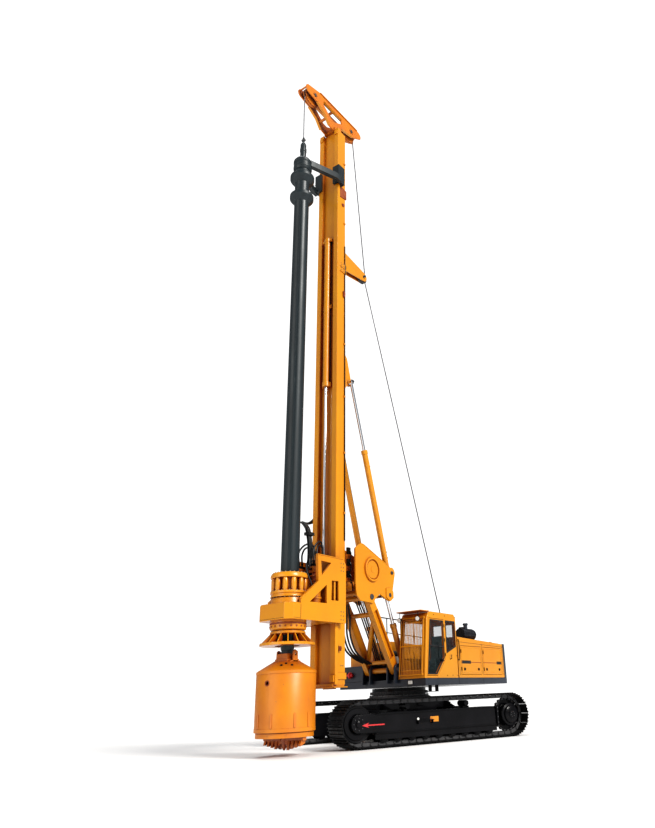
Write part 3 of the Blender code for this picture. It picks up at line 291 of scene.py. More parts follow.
    def studs(self, places, axis, size=0.014, height=0.012):
        """Hexagon heads at given places, sunk a little into the face they stand on."""
        axis, sunk = Vector(axis), 0.004
        for at in places:
            self.bar(Vector(at) - axis * sunk, Vector(at) + axis * height, size, sides=6)
        return self

    def copies(self, places):
        """Puts a copy of what is there at each matrix, and drops the first."""
        source = bpy.data.meshes.new("source")
        self.bm.to_mesh(source)
        self.bm.clear()
        for place in places:
            before = len(self.bm.verts)
            self.bm.from_mesh(source)
            self.bm.verts.ensure_lookup_table()
            self.put(self.bm.verts[before:], place)
        bpy.data.meshes.remove(source)
        return self

    def make(self, name, look, body, bevel=0.0, replaces=()):
        """The finished piece, riding on a body; given a tuple of two bodies and two places instead, it rides
        on no body and only its place is baked in.
        """
        bmesh.ops.recalc_face_normals(self.bm, faces=self.bm.faces)
        bmesh.ops.transform(self.bm, matrix=self.place, verts=self.bm.verts)
        mesh = bpy.data.meshes.new(name)
        self.bm.to_mesh(mesh)
        self.bm.free()
        mesh.polygons.foreach_set("use_smooth", [True] * len(mesh.polygons))
        mesh.set_sharp_from_angle(angle=SMOOTH_UNDER)
        piece = new_object(name, mesh)
        material, slot = LOOKS[look]
        mesh.materials.append(material)
        if bevel:
            soften(piece, bevel)
        if isinstance(body, tuple):
            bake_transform(piece)
        else:
            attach(piece, body)
        if replaces:
            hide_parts(*replaces)
        return piece


def soften(piece, width):
    """Rounds a piece's corners a little, as cast and cut steel is."""
    bevel = piece.modifiers.new("soften", "BEVEL")
    bevel.width = width
    bevel.segments = 2
    bevel.limit_method = "ANGLE"
    bevel.angle_limit = SOFTEN_OVER
    bevel.harden_normals = True


def curve_through(points, steps):
    """A smooth path through the points."""
    points = [Vector(p) for p in points]
    if steps < 2 or len(points) < 3:
        return points
    ends = [points[0] * 2 - points[1], *points, points[-1] * 2 - points[-2]]
    path = []
    for i in range(1, len(ends) - 2):
        a, b, c, d = ends[i - 1 : i + 3]
        for k in range(steps):
            t = k / steps
            square, cube = 2 * a - 5 * b + 4 * c - d, 3 * b - a - 3 * c + d
            path.append(0.5 * (2 * b + (c - a) * t + square * t * t + cube * t**3))
    return [*path, points[-1]]


# ---------------------------------------------------------------- materials
def add(tree, kind, output, inputs=None, mode=None):
    """A shader node's output, with its inputs set to values or linked to other outputs."""
    node = tree.nodes.new("ShaderNode" + kind)
    if kind == "Mix":
        node.data_type = mode
    elif kind == "TexWave":
        node.bands_direction = mode
    elif kind == "Math":
        node.operation = mode
    for key, value in (inputs or {}).items():
        if isinstance(value, bpy.types.NodeSocket):
            tree.links.new(value, node.inputs[key])
        else:
            node.inputs[key].default_value = value
    return node.outputs[output]


def kind_of(tree, kind):
    """The first node of a kind in a tree."""
    return next(node for node in tree.nodes if node.type == kind)


def surface(name, colour, rough, metal=0.0, second=None, patch=1.2, mark=None, mark_share=0.0, mark_size=9.0,
        grain=140.0, bump=0.05, spread=0.08, coat=0.0, stretch=(1, 1, 1), mark_rough=None, painted_crevice_shade=None):
    """A procedural surface: slow colour drift, marks of dirt or wear, painted shade darkening its crevices,
    uneven gloss and a fine grain.
    """
    made = bpy.data.materials.new(name)
    made.use_nodes = True
    tree = made.node_tree
    shader = tree.nodes["Principled BSDF"]
    shader.inputs["Metallic"].default_value = metal
    shader.inputs["Coat Weight"].default_value = coat
    shader.inputs["Coat Roughness"].default_value = 0.12
    where = add(tree, "TexCoord", "Object")
    place = add(tree, "Mapping", "Vector", {"Vector": where, "Scale": stretch})

    def noise(scale, detail, roughness=0.55):
        settings = {"Vector": place, "Scale": scale, "Detail": detail, "Roughness": roughness}
        return add(tree, "TexNoise", "Fac", settings)

    def span(value, low, high, to_low=0.0, to_high=1.0):
        ends = {"From Min": low, "From Max": high, "To Min": to_low, "To Max": to_high}
        return add(tree, "MapRange", "Result", {**ends, "Value": value})

    def blend(share, one, two):
        one, two = ((*value, 1.0) if isinstance(value, tuple) else value for value in (one, two))
        return add(tree, "Mix", "Result", {"Factor": share, "A": one, "B": two}, "RGBA")

    drift = noise(patch, 5)
    shade = second or tuple(c * 0.82 for c in colour)
    tint = blend(span(drift, 0.35, 0.68), colour, shade)
    gloss = span(drift, 0.3, 0.7, rough - spread, rough + spread)
    if mark:
        edge = 0.7 - 0.3 * mark_share
        worn = span(noise(mark_size, 9, 0.68), edge, edge + 0.07)
        tint = blend(worn, tint, mark)
        if mark_rough is not None:
            gloss = add(tree, "Mix", "Result", {"Factor": worn, "A": gloss, "B": mark_rough}, "FLOAT")
    # Painted shade: ambient occlusion darkens crevices and recesses towards the crevice colour
    if painted_crevice_shade:
        crevice_shade_mask = add(tree, "AmbientOcclusion", "AO", {"Distance": 0.7})
        crevice_shade_mask.node.samples = 8
        tint = blend(span(crevice_shade_mask, 0.15, 0.85), painted_crevice_shade, tint)
    tree.links.new(tint, shader.inputs["Base Color"])
    tree.links.new(gloss, shader.inputs["Roughness"])
    if bump:
        relief = add(tree, "Bump", "Normal", {"Strength": bump, "Distance": 0.004, "Height": noise(grain, 3)})
        tree.links.new(relief, shader.inputs["Normal"])
    return made


def rope_surface():
    """Steel wire rope: strands that wind round as fine diagonal bands."""
    made = surface("wire_rope", (0.1, 0.1, 0.11), 0.42, 0.7, grain=60, bump=0.5)
    tree = made.node_tree
    where = kind_of(tree, "TEX_COORD").outputs["Object"]
    strands = add(tree, "TexWave", "Fac", {"Scale": 12.0, "Vector": where}, "DIAGONAL")
    tree.links.new(strands, kind_of(tree, "BUMP").inputs["Height"])
    return made


def woven():
    """Seat cloth: two crossed waves make the weave."""
    made = surface("seat_cloth", (0.022, 0.023, 0.026), 0.85, second=(0.035, 0.036, 0.04), patch=14, bump=0.3)
    tree = made.node_tree
    where = kind_of(tree, "TEX_COORD").outputs["Object"]
    waves = [add(tree, "TexWave", "Fac", {"Scale": 60.0, "Vector": where}, way) for way in ("X", "Z")]
    both = add(tree, "Math", "Value", {0: waves[0], 1: waves[1]}, "MULTIPLY")
    tree.links.new(both, kind_of(tree, "BUMP").inputs["Height"])
    return made


def glass(name, colour, cover):
    """Clear glass, of which a share covers what is behind it."""
    made = surface(name, colour, 0.06, patch=2.0, bump=0.0, spread=0.015)
    made.node_tree.nodes["Principled BSDF"].inputs["Alpha"].default_value = cover
    return made


YELLOW = (0.67, 0.278, 0.005)
LOOKS = {
    # The crevice colours given below are painted shade, darker paint where parts meet and in recesses
    "yellow": (surface("machine_yellow", YELLOW, 0.36, second=(0.61, 0.226, 0.004), patch=0.55, coat=0.2,
        mark=(0.55, 0.22, 0.03), mark_share=0.1, mark_size=5.0, grain=90, bump=0.03,
        painted_crevice_shade=(0.3, 0.03, 0.002)), "yellow"),
    "bucket": (surface("bucket_yellow", (0.63, 0.215, 0.005), 0.42, second=(0.53, 0.155, 0.005), patch=1.3,
        mark=(0.3, 0.1, 0.03), mark_share=0.22, mark_size=4.0, grain=50, bump=0.1,
        painted_crevice_shade=(0.26, 0.03, 0.002)), "yellow"),
    # A darker copy of the machine yellow, painted shade for the crown, sheaves, bucket fins, teeth and
    # cutting edges
    "painted_shade_orange": (surface("machine_yellow_painted_shade", (0.66, 0.205, 0.006), 0.4, second=(0.54, 0.14, 0.006), patch=1.4,
        coat=0.15, mark=(0.22, 0.04, 0.01), mark_share=0.2, mark_size=6.0, grain=90, bump=0.05,
        painted_crevice_shade=(0.16, 0.018, 0.002)), "yellow"),
    "slate": (surface("slate_paint", (0.02, 0.026, 0.04), 0.38, second=(0.014, 0.018, 0.028), patch=0.9,
        coat=0.2, mark=(0.075, 0.07, 0.062), mark_share=0.16, grain=90, bump=0.04), "dark_grey"),
    "track": (surface("track_steel", (0.008, 0.008, 0.009), 0.4, 0.3, second=(0.016, 0.016, 0.017), patch=5,
        mark=(0.13, 0.13, 0.13), mark_share=0.22, mark_size=16, grain=70, bump=0.25, mark_rough=0.3),
        "black_steel"),
    "black": (surface("black_paint", (0.0035, 0.0035, 0.0045), 0.34, second=(0.007, 0.007, 0.009), patch=1.4,
        coat=0.15, mark=(0.018, 0.017, 0.016), mark_share=0.16, grain=90, bump=0.05), "black_steel"),
    "kelly": (surface("kelly_paint", (0.016, 0.026, 0.031), 0.42, 0.1, second=(0.01, 0.016, 0.02), patch=2.0,
        stretch=(4, 4, 0.35), mark=(0.065, 0.072, 0.078), mark_share=0.24, mark_size=3.5, grain=30, bump=0.06,
        mark_rough=0.28), "kelly_grey"),
    "chrome": (surface("chrome_rod", (0.82, 0.83, 0.85), 0.1, 1.0, second=(0.72, 0.73, 0.76), patch=1.5,
        stretch=(6, 6, 0.4), grain=200, bump=0.01, spread=0.04), "chrome"),
    "cast": (surface("cast_steel", (0.09, 0.09, 0.095), 0.55, 0.5, patch=6, mark=(0.22, 0.2, 0.18),
        mark_share=0.25, grain=60, bump=0.3), "cast"),
    "hose": (surface("hose_rubber", (0.007, 0.007, 0.008), 0.5, patch=8, grain=220, bump=0.25),
        "black_steel"),
    "rope": (rope_surface(), "cast"),
    "seat": (woven(), "seat"),
    "glass": (glass("cab_glass", (0.05, 0.08, 0.085), 0.15), "glass"),
    "lamp": (surface("lamp_lens", (0.92, 0.92, 0.88), 0.12, patch=30, coat=0.6, grain=120, bump=0.3),
        "glass"),
    "bolt": (surface("bolt_steel", (0.33, 0.26, 0.17), 0.4, 0.6, patch=20, grain=150, bump=0.1), "cast"),
    "red": (surface("red_paint", (0.62, 0.025, 0.03), 0.35, patch=4, coat=0.3, grain=90, bump=0.04),
        "yellow"),
    "white": (surface("white_paint", (0.78, 0.78, 0.76), 0.35, patch=4, grain=90, bump=0.03), "yellow"),
    "tread": (surface("step_plate", (0.11, 0.115, 0.12), 0.48, 0.6, patch=3, grain=26, bump=0.9),
        "dark_grey"),
    "rust": (surface("red_oxide", (0.2, 0.035, 0.012), 0.55, second=(0.3, 0.07, 0.015), patch=6, grain=60,
        bump=0.15), "yellow"),
    "rubber": (surface("window_seal", (0.01, 0.01, 0.011), 0.6, patch=12, grain=180, bump=0.1),
        "black_steel"),
}

# Paint and steel that hardly shine
for dull in ("black", "track"):
    LOOKS[dull][0].node_tree.nodes["Principled BSDF"].inputs["Specular IOR Level"].default_value = 0.08


def smoothing():
    """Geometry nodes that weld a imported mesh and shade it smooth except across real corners."""
    tree = bpy.data.node_groups.new("smooth_by_angle", "GeometryNodeTree")
    for way in ("INPUT", "OUTPUT"):
        tree.interface.new_socket("Geometry", in_out=way, socket_type="NodeSocketGeometry")
    new, link = tree.nodes.new, tree.links.new
    start, end = new("NodeGroupInput"), new("NodeGroupOutput")
    weld = new("GeometryNodeMergeByDistance")
    weld.inputs["Distance"].default_value = 0.0002
    bend = new("GeometryNodeInputMeshEdgeAngle")
    corner = new("FunctionNodeCompare")
    corner.operation = "GREATER_THAN"
    corner.inputs[1].default_value = SMOOTH_UNDER
    faces = new("GeometryNodeSetShadeSmooth")
    edges = new("GeometryNodeSetShadeSmooth")
    edges.domain = "EDGE"
    edges.inputs["Shade Smooth"].default_value = False
    link(start.outputs[0], weld.inputs["Geometry"])
    link(weld.outputs[0], faces.inputs[0])
    link(faces.outputs[0], edges.inputs[0])
    link(bend.outputs["Unsigned Angle"], corner.inputs[0])
    link(corner.outputs[0], edges.inputs["Selection"])
    link(edges.outputs[0], end.inputs[0])
    return tree


SMOOTH = smoothing()


def dress(node, look, bevel=0.0):
    """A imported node's look, with its facets smoothed and its corners softened."""
    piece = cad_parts[node]
    piece.data.materials.clear()
    piece.data.materials.append(LOOKS[look][0])
    smooth = piece.modifiers.new("smooth", "NODES")
    smooth.node_group = SMOOTH
    if bevel:
        soften(piece, bevel)


NODE_LOOKS = (
    ("yellow", 0.012, "left_house right_house cab_shell rotary_gearbox"),
    ("yellow", 0.008, "left_front_door left_rear_door right_door boom mast_lower mast_upper"),
    ("yellow", 0.006, "winch_frame cab_door luffing_bracket power_head_carriage"),
    ("yellow", 0.004, "luffing_cylinders mast_cylinders casing_adaptor"),
    ("yellow", 0.003, "crowd_cylinder windscreen_guard drive_sleeve"),
    ("yellow", 0.03, "fuel_tank"),
    # The crown and its sheaves take the darker copy of the yellow paint, painted shade
    ("painted_shade_orange", 0.006, "crown"),
    ("painted_shade_orange", 0.0, "front_sheave rear_sheave"),
    ("bucket", 0.004, "drilling_bucket bucket_lid"),
    ("slate", 0.012, "main_deck"),
    ("slate", 0.05, "counterweight"),
    ("slate", 0.02, "front_locker"),
    ("black", 0.006, "idler_left idler_right final_drive_left final_drive_right"),
    ("black", 0.012, "track_frame_left track_frame_right air_cleaner"),
    ("black", 0.015, "carbody operator_console"),
    ("cast", 0.02, "engine_block"),
    ("cast", 0.004, "winch_drum"),
    ("cast", 0.0, "guide_sheave"),
    ("kelly", 0.008, "kelly_guide"),
    ("kelly", 0.003, "rope_swivel"),
    ("kelly", 0.0, "kelly_outer kelly_inner"),
    ("chrome", 0.0, "luffing_rods mast_rods crowd_rod"),
    ("seat", 0.04, "operator_seat"),
    ("glass", 0.0, "windscreen side_window right_window rear_window door_window"),
    ("track", 0.0, "track_left track_right"),
)


# ---------------------------------------------------------------- tracks
def chain_point(distance, radius):
    """A point on a track's loop, where the middle of the lower run is at distance 0."""
    straight, half_turn = 2 * AXLE, math.pi * radius
    distance = (distance + AXLE) % (2 * (straight + half_turn))
    if distance < straight:
        return Vector((-AXLE + distance, 0, AXLE_Z - radius))
    distance -= straight
    if distance < half_turn:
        angle = distance / radius - math.pi / 2
        return spot(polar(radius, angle, (AXLE, AXLE_Z)))
    distance -= half_turn
    if distance < straight:
        return Vector((AXLE - distance, 0, AXLE_Z + radius))
    angle = (distance - straight) / radius + math.pi / 2
    return spot(polar(radius, angle, (-AXLE, AXLE_Z)))


SHOES, CHAIN = 56, 0.47


def shoe_places():
    """Each shoe's frame: X along the chain, Z out from the loop."""
    pitch = (4 * AXLE + 2 * math.pi * CHAIN) / SHOES
    places = []
    for i in range(SHOES):
        start, end = chain_point(i * pitch, CHAIN), chain_point((i + 1) * pitch, CHAIN)
        way = (end - start).normalized()
        out = Vector((way.z, 0, -way.x))
        middle = (start + end) / 2
        places.append(Matrix(((way.x, 0, out.x, middle.x), (0, 1, 0, 0), (way.z, 0, out.z, middle.z),
            (0, 0, 0, 1))))
    return places, pitch


def build_tracks():
    """Shoes with their grousers, and the chain's links and bolts, once round each loop."""
    places, pitch = shoe_places()
    for side, tag in ((1, "left"), (-1, "right")):
        middle = Matrix.Translation((0, side * TRACK_Y, 0))
        placed = [middle @ place for place in places]
        shoes = Shape(UNDER)
        half = pitch / 2
        profile = [(-half - 0.012, 0.052), (-half + 0.02, 0.044), (half - 0.02, 0.044), (half + 0.008, 0.06),
            (half - 0.004, 0.068), (half - 0.024, 0.058), (-half + 0.022, 0.058), (-half - 0.01, 0.064)]
        shoes.plate(profile, -0.398, 0.398)
        for at in (-half + 0.032, 0.0, half - 0.032):
            outline = [(at - 0.016, 0.054), (at + 0.016, 0.054), (at + 0.007, 0.095), (at - 0.007, 0.095)]
            shoes.plate(outline, -0.396, 0.396)
        shoes.copies(placed).make("shoes_" + tag, "track", "undercarriage", replaces=("track_" + tag,))
        links = Shape(UNDER)
        for y in (-0.125, 0.085):
            outline = [*arc((-half, 0), 0.038, 100, 260, 4), (0, -0.04), *arc((half, 0), 0.038, -80, 80, 4),
                (0, 0.044)]
            links.plate(outline, y, y + 0.04)
        links.across((-half, 0), 0.019, -0.15, 0.15, 10)
        for x in (-0.045, 0.045):
            for y in (-0.105, 0.105):
                links.bar((x, y, 0.05), (x, y, 0.072), 0.013, sides=6)
        links.copies(placed).make("chain_" + tag, "cast", "undercarriage")


def build_undercarriage():
    """Trim of the track frames, hubs, sprockets and bolts, the slewing gear and the carbody's gussets."""
    for side, tag in ((1, "left"), (-1, "right")):
        outer = TRACK_Y + 0.24
        frame_trim = Shape(UNDER)
        # Side plate with its lips, the end plate and the roller guards
        nose = arc((AXLE, AXLE_Z), 0.205, -78, 78, 8)
        frame_trim.plate([(-1.86, 0.34), (1.9, 0.35), *nose, (1.9, 0.77), (-1.78, 0.79), (-1.86, 0.72)],
            outer - 0.01, outer + 0.012)
        frame_trim.plate([(-1.88, 0.775), (1.95, 0.76), (1.95, 0.782), (-1.88, 0.8)], outer - 0.02,
            outer + 0.055)
        frame_trim.plate([(-1.88, 0.322), (1.95, 0.33), (1.95, 0.352), (-1.88, 0.345)], outer - 0.02,
            outer + 0.04)
        frame_trim.lathe([(0, 0.25), (0.085, 0.25), (0.085, 0.275), (0.055, 0.29), (0, 0.29)],
            (AXLE, TRACK_Y, AXLE_Z), Y)
        frame_trim.box((-1.94, outer - 0.05, 0.3), (-1.89, outer + 0.06, 0.8))
        for y in (-0.235, 0.21):
            frame_trim.box((-1.9, TRACK_Y + y, 0.185), (1.95, TRACK_Y + y + 0.025, 0.34))
        # Roller flanges
        for i in range(9):
            x = -1.68 + 0.42 * i
            for y in (-0.165, -0.045, 0.045, 0.165):
                frame_trim.across((x, 0.253), 0.145, TRACK_Y + y - 0.012, TRACK_Y + y + 0.012, 20)
        # Step on two brackets
        frame_trim.box((0.25, outer, 0.56), (0.75, outer + 0.1, 0.575))
        for x in (0.27, 0.71):
            frame_trim.box((x, outer, 0.48), (x + 0.02, outer + 0.09, 0.56))
        hub = Shape(UNDER)
        hub.lathe([(0, 0.335), (0.1, 0.335), (0.115, 0.325), (0.115, 0.31), (0.2, 0.3), (0.225, 0.285),
            (0.235, 0.24), (0.285, 0.225), (0.3, 0.205), (0.3, 0.14), (0, 0.14)], (-AXLE, TRACK_Y, AXLE_Z), Y,
            40)
        teeth = Shape(UNDER)
        outline = gear(21, [(0.05, 0.395), (0.3, 0.438), (0.7, 0.438), (0.95, 0.395)], (-AXLE, AXLE_Z))
        teeth.plate(outline, TRACK_Y - 0.04, TRACK_Y + 0.04, holes=[circle((-AXLE, AXLE_Z), 0.26)])
        idler = Shape(UNDER)
        idler.lathe([(0.23, 0.15), (0.24, 0.165), (0.36, 0.168), (0.37, 0.15)], (AXLE, TRACK_Y, AXLE_Z), Y,
            40)
        bolts = Shape(UNDER)
        bolts.bolts((-AXLE, TRACK_Y + 0.286, AXLE_Z), Y, 0.175, 12, 0.014)
        bolts.bolts((-AXLE, TRACK_Y + 0.205, AXLE_Z), Y, 0.27, 20, 0.013)
        bolts.bolts((-AXLE, TRACK_Y + 0.334, AXLE_Z), Y, 0.06, 6, 0.01)
        bolts.bolts((AXLE, TRACK_Y + 0.251, AXLE_Z), Y, 0.14, 8, 0.012)
        bolts.studs([(-1.915, outer + 0.058, z) for z in (0.38, 0.52, 0.66, 0.76)], Y)
        marks = Shape(UNDER)
        marks.box((0.06, outer + 0.012, 0.51), (0.32, outer + 0.016, 0.64))
        lamps = Shape(UNDER)
        lamps.across((0.7, 0.6), 0.032, outer + 0.012, outer + 0.024, 16)
        arrow = Shape(UNDER)
        arrow.plate([(2.34, 0.53), (2.14, 0.59), (2.18, 0.546), (1.7, 0.546), (1.7, 0.516), (2.18, 0.516),
            (2.14, 0.474)], outer + 0.012, outer + 0.016)
        for shape, name, look, bevel in ((frame_trim, "frame_trim", "black", 0.005),
                (hub, "drive_hub", "black", 0.0), (teeth, "sprocket", "cast", 0.004),
                (idler, "idler_cap", "black", 0.0), (bolts, "track_bolts", "cast", 0.0),
                (marks, "blank_plate", "yellow", 0.0), (lamps, "side_marker", "lamp", 0.0),
                (arrow, "travel_arrow", "red", 0.0)):
            if side < 0:
                bmesh.ops.scale(shape.bm, vec=(1, -1, 1), verts=shape.bm.verts)
            shape.make(name + "_" + tag, look, "undercarriage", bevel)
    # Slewing ring with its gear teeth and bolts
    ring = Shape(UNDER)
    outline = gear(96, [(0.0, 0.8), (0.294, 0.842), (0.686, 0.842), (0.98, 0.8)])
    ring.plate(outline, 1.225, 1.3, "XY", [circle((0, 0), 0.62, 48)])
    ring.lathe([(0.86, 1.2), (0.86, 1.16), (0.92, 1.14), (0.92, 1.11), (0.6, 1.11), (0.6, 1.2)], sides=64)
    ring.make("slewing_gear", "cast", "undercarriage", 0.0)
    Shape(UNDER).bolts((0, 0, 1.2), Z, 0.845, 48, 0.013).make("slewing_bolts", "cast", "undercarriage")
    legs = Shape(UNDER)
    for x in (-1.05, 1.05):
        for y in (-1, 1):
            legs.plate([(y * 0.55, 0.8), (y * 1.4, 0.8), (y * 0.62, 1.08)], x - 0.02, x + 0.02, "YZ")
    legs.box((-0.9, -0.7, 1.0), (0.9, 0.7, 1.06))
    legs.make("carbody_gussets", "black", "undercarriage", 0.006)


# ---------------------------------------------------------------- upper structure
def build_deck():
    """Skirt seams, tread plate, hand rails, deck lamp, ballast lines and the bay behind the boom."""
    seams = Shape()
    for x in (-0.95, -2.46):
        for y in (-1.503, 1.497):
            seams.box((x - 0.006, y, 1.42), (x + 0.006, y + 0.006, 1.58))
    seams.box((-3.946, -1.49, 1.42), (-3.934, 1.49, 1.425))
    seams.box((-4.314, -1.15, 2.02), (-4.306, 1.15, 2.03))
    for z in (1.44, 1.56):
        for x in (-3.7, -3.0, -2.2, -1.4, -0.5, 0.2, 0.7):
            seams.box((x - 0.05, 1.497, z - 0.004), (x + 0.05, 1.503, z + 0.004))
    seams.make("skirt_seams", "rubber", "upper")
    tread = Shape()
    tread.box((-0.955, 0.62, 1.591), (-0.925, 1.49, 1.597))
    tread.box((0.3, -0.26, 1.591), (0.72, 0.26, 1.599))
    tread.box((-2.5, -0.27, 1.591), (-0.3, 0.27, 1.597))
    tread.box((-0.52, -0.615, 1.591), (0.36, -0.585, 1.601))
    tread.make("deck_tread", "tread", "upper")
    rails = Shape()
    x0, x1, z0, z1 = -3.85, -0.66, 2.64, 2.74
    rails.tube([(x0, RAIL_Y, z0), (x0, RAIL_Y, 3.45), (x0 + 0.06, RAIL_Y, 3.52), (x1 - 0.06, RAIL_Y, 3.6),
        (x1, RAIL_Y, 3.53), (x1, RAIL_Y, z1)], 0.018, smooth=3)
    rails.tube([(x0, RAIL_Y, 3.06), (x1, RAIL_Y, 3.15)], 0.014)
    for share in (0.25, 0.5, 0.75):
        x = x0 + (x1 - x0) * share
        rails.bar((x, RAIL_Y, z0 + (z1 - z0) * share), (x, RAIL_Y, 3.52 + 0.08 * share), 0.016, sides=10)
    rails.tube([(-0.97, 1.49, 2.1), (-0.97, 1.55, 2.12), (-0.97, 1.55, 2.62), (-0.97, 1.49, 2.64)], 0.012,
        smooth=3)
    rails.make("hand_rails", "black", "upper")
    step = Shape()
    step.box((0.2, 1.34, 1.24), (0.56, 1.5, 1.255))
    for x in (0.2, 0.545):
        step.box((x, 1.38, 1.24), (x + 0.015, 1.49, 1.42))
    step.make("cab_step", "black", "upper", 0.004)
    Shape().box((0.862, 0.93, 1.455), (0.878, 1.07, 1.545)).make("deck_lamp", "lamp", "upper", 0.004)
    Shape().box((0.855, 0.915, 1.44), (0.868, 1.085, 1.56)).make("deck_lamp_bezel", "black", "upper", 0.004)
    ballast = Shape()
    for z in (1.72, 2.32):
        ballast.box((-4.325, -0.75, z), (-4.3, 0.75, z + 0.012))
    for y in (-0.95, 0.95):
        ballast.tube([(-4.25, y, 2.62), (-4.25, y, 2.72), (-4.14, y, 2.74), (-4.03, y, 2.72),
            (-4.03, y, 2.62)], 0.02)
    ballast.bolts((-4.306, -1.0, 1.56), (-1, 0, 0), 0.03, 1)
    ballast.make("ballast_trim", "black", "upper", 0.003)
    # Valve block, pump line and hoses in the bay
    bay = Shape()
    bay.box((-0.2, -0.24, 1.6), (0.22, 0.24, 2.05))
    bay.box((-0.75, -0.22, 1.6), (-0.3, 0.22, 2.2))
    for y in (-0.16, 0.0, 0.16):
        for z in (1.72, 1.88):
            bay.bar((0.2, y, z), (0.3, y, z), 0.036, sides=12)
            bay.bar((0.29, y, z), (0.335, y, z), 0.026, sides=6)
    bay.make("valve_block", "black", "upper", 0.01)
    drum = Shape()
    drum.lathe([(0, 0.0), (0.17, 0.0), (0.185, 0.02), (0.185, 0.3), (0.17, 0.32), (0, 0.32)],
        (0.02, -0.1, 2.24), X)
    drum.make("swivel_reservoir", "black", "upper")
    filters = Shape()
    for y in (0.05, 0.17):
        filters.bar((0.3, y, 2.02), (0.3, y, 2.2), 0.05, sides=20)
        filters.bar((0.3, y, 2.2), (0.3, y, 2.24), 0.058, sides=20)
    filters.make("line_filters", "white", "upper")
    red = Shape()
    red.across((0.93, 1.78), 0.085, -1.1, -1.04, 24)
    red.across((0.93, 1.78), 0.045, -1.14, -0.98, 16)
    red.box((0.855, -1.09, 1.73), (0.93, -1.05, 1.83))
    red.across((0.93, 1.8), 0.075, -1.32, -1.26, 24)
    red.box((0.9, -1.28, 1.76), (0.95, -1.06, 1.81))
    red.make("front_tow_hook", "red", "upper", 0.006)
    hoses = Shape()
    for i, y in enumerate((-0.2, -0.13, -0.06, 0.06, 0.13, 0.2)):
        hoses.tube([(0.3, y * 0.9, 1.8 + 0.02 * i), (0.52, y, 1.86), (0.78, y, 2.06), (1.02, y, 2.5),
            (1.28, y * 1.1, 3.0), (1.52, y * 1.1, 3.42), (1.7, y * 1.1, 3.7)], 0.02, smooth=5)
    hoses.make("boom_hoses", "hose", "boom")
    drop = Shape()
    for i in range(4):
        y, out = -0.22 - 0.07 * i, 0.05 * i
        drop.tube([(2.05, y, 3.62), (1.98 + out, y, 3.2), (1.9 + out, y - 0.05, 2.8),
            (1.66 + out, y - 0.08, 2.42), (1.36 + out * 0.5, y - 0.06, 2.2), (1.02, y, 2.06),
            (0.72, y * 0.8, 1.98), (0.4, y * 0.6, 1.92)], 0.026, smooth=6)
    drop.make("drop_hoses", "hose", ("bracket", "boom", (2.05, -0.3, 3.62), (0.72, -0.3, 1.98)))
    loops = Shape()
    for y, reach in ((-0.2, 0.34), (-0.1, 0.26), (0.1, 0.3), (0.2, 0.38)):
        loops.tube([(1.7, y * 1.1, 3.68), (1.86, y, 4.02), (2.02 - reach * 0.2, y, 4.34), (2.3, y, 4.6),
            (2.62, y, 4.52), (2.86, y * 1.2, 4.4)], 0.02, smooth=5)
    loops.make("head_hoses_lower", "hose", "bracket")


